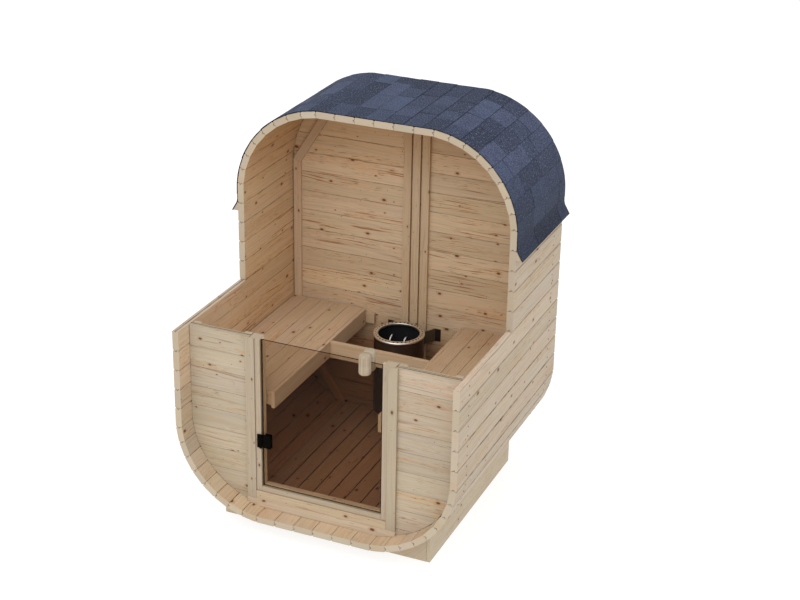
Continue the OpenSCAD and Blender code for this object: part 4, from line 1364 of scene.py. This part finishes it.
black = plain_finish(
    "black_satin", (0.003, 0.0025, 0.002), (0.005, 0.004, 0.0035), 90.0, 0.7,
    Specular_IOR_Level=0.01,
)
steel = plain_finish(
    "dull_steel", (0.42, 0.42, 0.43), (0.52, 0.52, 0.53), 120.0, 0.32, Metallic=1.0
)
hinge_z, middle_z = (HINGE_Z0, HINGE_Z1), (HINGE_Z0 + THIRD + 1, HINGE_Z0 + 2 * THIRD - 1)
clamp_y = GLASS_Y0 - CLAMP_T
clamp_sets = [
    planks([CLAMP_X0, CLAMP_X1, clamp_y, GLASS_Y0 - FIT, *hinge_z], Y, r=4.0),
    planks([COUNTER_X0, CLAMP_X1, GLASS_Y1 + FIT, GLASS_Y1 + COUNTER_T, *hinge_z], Y, r=3.0),
    planks([PIN_X + 4, ARM_X1, clamp_y, clamp_y + ARM_T, *middle_z], X, r=0.6),
    knuckle(*middle_z),
]
add_piece("hinge_clamp_plates", clamp_sets, black, ["hinge_clamp"], "door")
leaf_y = PIN_Y + LEAF_T
leaf_sets = [planks([LEAF_X0, LEAF_X1, PIN_Y, leaf_y, *hinge_z], Y, r=2.5)]
for z0 in (HINGE_Z0, HINGE_Z0 + 2 * THIRD):
    leaf_sets += [
        planks([TAB_X0, PIN_X - 4, PIN_Y, PIN_Y + 4, z0, z0 + THIRD], X, r=0.6),
        planks([TAB_X0, FLANGE_X1, leaf_y - FLANGE_T, leaf_y, z0, z0 + THIRD], X, r=0.4),
        knuckle(z0, z0 + THIRD),
    ]
add_piece("hinge_leaf_plate", leaf_sets, black, ["hinge_leaf"])
pin_z = [HINGE_Z0, HINGE_Z0 + 1, HINGE_Z1 - 1, HINGE_Z1]
pin = round_bar((PIN_X, PIN_Y), pin_z, [2, 3, 3, 2])
add_piece("hinge_pin_bar", [pin], steel, ["hinge_pin"])

# %% [markdown]
# ## Heater
# The heater is a round pot of dark sheet metal with a steel rim full of holes. Pot and
# rim are circles carried along their own profile: up the outside, over the edge and down
# the inside. The rim's profile comes back to its start, so it is a closed loop. The
# heating rods are circles carried along a bent path.

# %% Heater
HEATER_Y, HEATER_R, HEATER_Z0, RIM_Z, RIM_TOP = 1183.0, 150.0, 345.0, 835.0, 849.0
SHEET, RIM_R, RIM_W, ROUND_N = 4.0, 155.0, 30.0, 96
HOLE_N, HOLE_R, POT_SHADE = 36, 5.4, (0.004, 0.0045, 0.006)


def pot_finish():
    """Dark brown sheet metal, blue-black inside: painted shade."""
    finish, tree, shader = new_finish("dark_pot", Specular_IOR_Level=0.45)
    sheet = mottled(tree, (0.034, 0.017, 0.011), (0.046, 0.026, 0.018), 18.0)
    inside_pot = face_mark(tree, "groove").calc("MAXIMUM", face_mark(tree, "end"))
    inside_pot.mix(sheet, POT_SHADE).into(shader["Base Color"])
    inside_pot.ramp(0.0, 1.0, 0.36, 0.85).into(shader["Roughness"])
    return finish


rim_metal = plain_finish(
    "brushed_rim", (0.80, 0.77, 0.74), (0.88, 0.85, 0.82), 160.0, 0.30, Metallic=1.0
)
hole_shade_finish = plain_finish("painted_hole_shade", (0.006, 0.005, 0.005), (0.010, 0.009, 0.008), 90.0, 0.7)
hub, inner_r, pot_floor = (0.0, HEATER_Y), HEATER_R - SHEET, HEATER_Z0 + SHEET
pot_path = np.array(
    [(HEATER_R - 12, HEATER_Z0), (HEATER_R - 3, HEATER_Z0), (HEATER_R, HEATER_Z0 + 3),
     (HEATER_R, RIM_Z - 1), (HEATER_R - 1, RIM_Z), (inner_r, RIM_Z),
     (inner_r, pot_floor + 3), (inner_r - 3, pot_floor)]
)
# the faces inside the pot get painted shade
pot_shade = np.zeros((len(pot_path) - 1, ROUND_N, 2))
pot_shade[4:, :, 0] = 1
pot_rings, pot_axis, _ = round_bar(hub, pot_path[:, 1], pot_path[:, 0], ROUND_N)
pot_set = (pot_rings, pot_axis, pot_shade)
pot = add_piece("heater_pot", [pot_set], pot_finish(), ["heater_body"])
low, high, r0, r1 = RIM_Z + FIT, RIM_TOP, RIM_R - RIM_W, RIM_R
rim_path = np.array(
    [(r1 - 2, low), (r1, low + 2), (r1, high - 7), (r1 - 0.6, high - 4.3), (r1 - 2.2, high - 2),
     (r1 - 4.5, high - 0.5), (r1 - 7, high), (r0 + 2, high), (r0, high - 2), (r0, low + 1),
     (r0 + 1, low), (r1 - 2, low)]
)
rim_set = round_bar(hub, rim_path[:, 1], rim_path[:, 0], ROUND_N)
rim = add_piece("heater_rim_ring", [rim_set], rim_metal, ["heater_rim"])
# The holes are dark discs on the rim: painted shade, not openings.
hole_hubs = hub + (r0 + r1) / 2 * spokes(HOLE_N)
hole_z = RIM_TOP + np.array([-1.0, 0.15, 0.2])
holes = [round_bar(spot, hole_z, [HOLE_R, HOLE_R, HOLE_R - 0.4], 10) for spot in hole_hubs]
add_piece("heater_rim_holes", holes, hole_shade_finish)
for mesh in (pot, rim):
    smooth(mesh, 35)

# %% [markdown]
# A rod goes up, round half a circle and down again. At every step of the path a small
# circle stands square to it. Because the path is flat, the circle only needs the way
# out of the plane and the way outwards within it.

# %% Rods and brackets
ROD_X, ROD_R, ROD_BEND, ROD_TOP = 45.0, 4.0, 34.0, RIM_TOP - 60.0
HIGHLIGHT_Y, HIGHLIGHT_Z = 12.0, 30.0
rod_foot = HEATER_Z0 + SHEET + FIT
bow = unit(np.linspace(0, 180, 25))
rod_fall = rod_foot - ROD_TOP
path = np.vstack([[ROD_BEND, rod_fall], bow * ROD_BEND, [-ROD_BEND, rod_fall]])
outwards = np.vstack([[1, 0], bow, [-1, 0]])
out, aside = ROD_R * spokes(12).T
flat = path[:, None] + out[:, None] * outwards[:, None] + [HEATER_Y, ROD_TOP]
rods = [(lifted(flat, x + aside, X)[None], ALONG_Z, None) for x in (-ROD_X, ROD_X)]


def rod_finish():
    """Steel with a painted highlight in front near the top, and painted shade at the back and
    further down.
    """
    finish, tree, shader = new_finish("rod_painted_highlight", Metallic=0.3, Roughness=0.3)
    _, depth, height = object_place(tree).parts()
    hub_y = HEATER_Y + FRONT_Y
    front = depth.ramp((hub_y - HIGHLIGHT_Y) * MM, (hub_y + HIGHLIGHT_Y) * MM, 1.0, 0.0)
    high = height.ramp((ROD_TOP - HIGHLIGHT_Z) * MM, ROD_TOP * MM)
    (front * high).mix((0.03, 0.03, 0.032), (0.85, 0.86, 0.88)).into(shader["Base Color"])
    return finish


add_piece(
    "heater_rods", rods, rod_finish(), ["heater_elements"]
).shade_smooth()

BRACKET_X, BRACKET_Z0, BRACKET_H, FLANGE_W = 136.0, RIM_TOP - 129.0, 80.0, 40.0
wall_y = Y_B0 - FIT
lean = math.atan2(BRACKET_X, wall_y - HEATER_Y)
foot_x = (HEATER_R + FIT) * math.sin(lean)
foot_y = HEATER_Y + (HEATER_R + FIT) * math.cos(lean)
bend_x, flange_x, flange_y = BRACKET_X + 3, BRACKET_X + FLANGE_W - 2, wall_y - SHEET
arm = np.array(
    [[foot_x, foot_y], [foot_x + SHEET + 1, foot_y - 1], [bend_x, flange_y], [bend_x, wall_y],
     [BRACKET_X - 2, wall_y]]
)
plate = np.array(
    [[bend_x, flange_y], [flange_x - 1, flange_y], [flange_x, flange_y + 1], [flange_x, wall_y],
     [bend_x, wall_y]]
)


def upright_sheet(outline, dark):
    """Bent sheet: an outline seen from above, carried upwards, and its mirror image.
    The outlines run so that the faces look outwards."""
    area = np.cross(outline, np.roll(outline, -1, axis=0)).sum()
    outline = outline if area > 0 else outline[::-1]
    pair = np.stack([outline, (outline * [-1, 1])[::-1]])
    levels = [lifted(pair, z, Z) for z in (BRACKET_Z0, BRACKET_Z0 + BRACKET_H)]
    return np.stack(levels, axis=1), ALONG_Z, [dark, 0]


def bracket_finish():
    """Olive-brown painted sheet with a darker flange."""
    finish, tree, shader = new_finish("bracket_paint", Specular_IOR_Level=0.4, Roughness=0.4)
    flange = face_mark(tree, "groove")
    flange.mix((0.085, 0.062, 0.036), (0.022, 0.012, 0.012)).into(shader["Base Color"])
    return finish


sheets = [upright_sheet(arm, 0), upright_sheet(plate, 1)]
add_piece(
    "heater_bracket_sheets", sheets, bracket_finish(), ["heater_brackets"]
)

# %% [markdown]
# ## Nails
# Every stave is nailed to both walls with two nails. A nail head is a flat dome: three
# small circles that stand on the outside of the stave, one above the other.

# %% Nails
NAIL_R, NAIL_N, NAIL_AT = 5.2, 8, (0.27, 0.73)
NAIL_DOME = ((-0.6, 1.0), (0.5, 1.0), (1.0, 0.7))  # height and share of the radius
NAIL_ROWS = (Y_F0 + WALL_T / 2, Y_B0 + WALL_T / 2)


def nail_rings(first, last, depths):
    """Nail heads on staves first to last, two per stave at each depth."""
    way = unit(turns[first:last])
    walked = (widths[first:last, None] * NAIL_AT)[..., None] * way[:, None]
    spots = joints[first:last, None] + walked
    along = np.repeat(way, 2 * len(depths), axis=0)
    out = np.stack([along[:, 1], -along[:, 0]], axis=-1)
    spots = np.repeat(spots.reshape(-1, 2), len(depths), axis=0)
    deep = np.tile(depths, len(spots) // len(depths))
    rings = []
    for lift, share in NAIL_DOME:
        deeper, aside = NAIL_R * share * spokes(NAIL_N).T
        flat = (spots + lift * out)[:, None] + aside[:, None] * along[:, None]
        rings.append(lifted(flat, deep[:, None] + deeper, Y))
    return np.stack(rings, axis=1), ALONG_Y, None


bare = int(np.searchsorted(joints[i_right:i_tr, 1], EAVE_Z))
right_cut, left_cut = i_right + SIDE_N // 2, i_bl - SIDE_N // 2
nail_sets = [
    nail_rings(0, i_right, NAIL_ROWS),
    nail_rings(i_bl, len(turns), NAIL_ROWS),
    nail_rings(i_right, right_cut, NAIL_ROWS),
    nail_rings(left_cut, i_bl, NAIL_ROWS),
    nail_rings(right_cut, i_right + bare - 1, NAIL_ROWS[1:]),
    nail_rings(i_bl - bare + 1, left_cut, NAIL_ROWS[1:]),
]
nail_metal = plain_finish(
    "nail_steel", (0.020, 0.022, 0.028), (0.045, 0.05, 0.06), 200.0, 0.5, Specular_IOR_Level=0.2
)
add_piece("stave_nails", nail_sets, nail_metal)
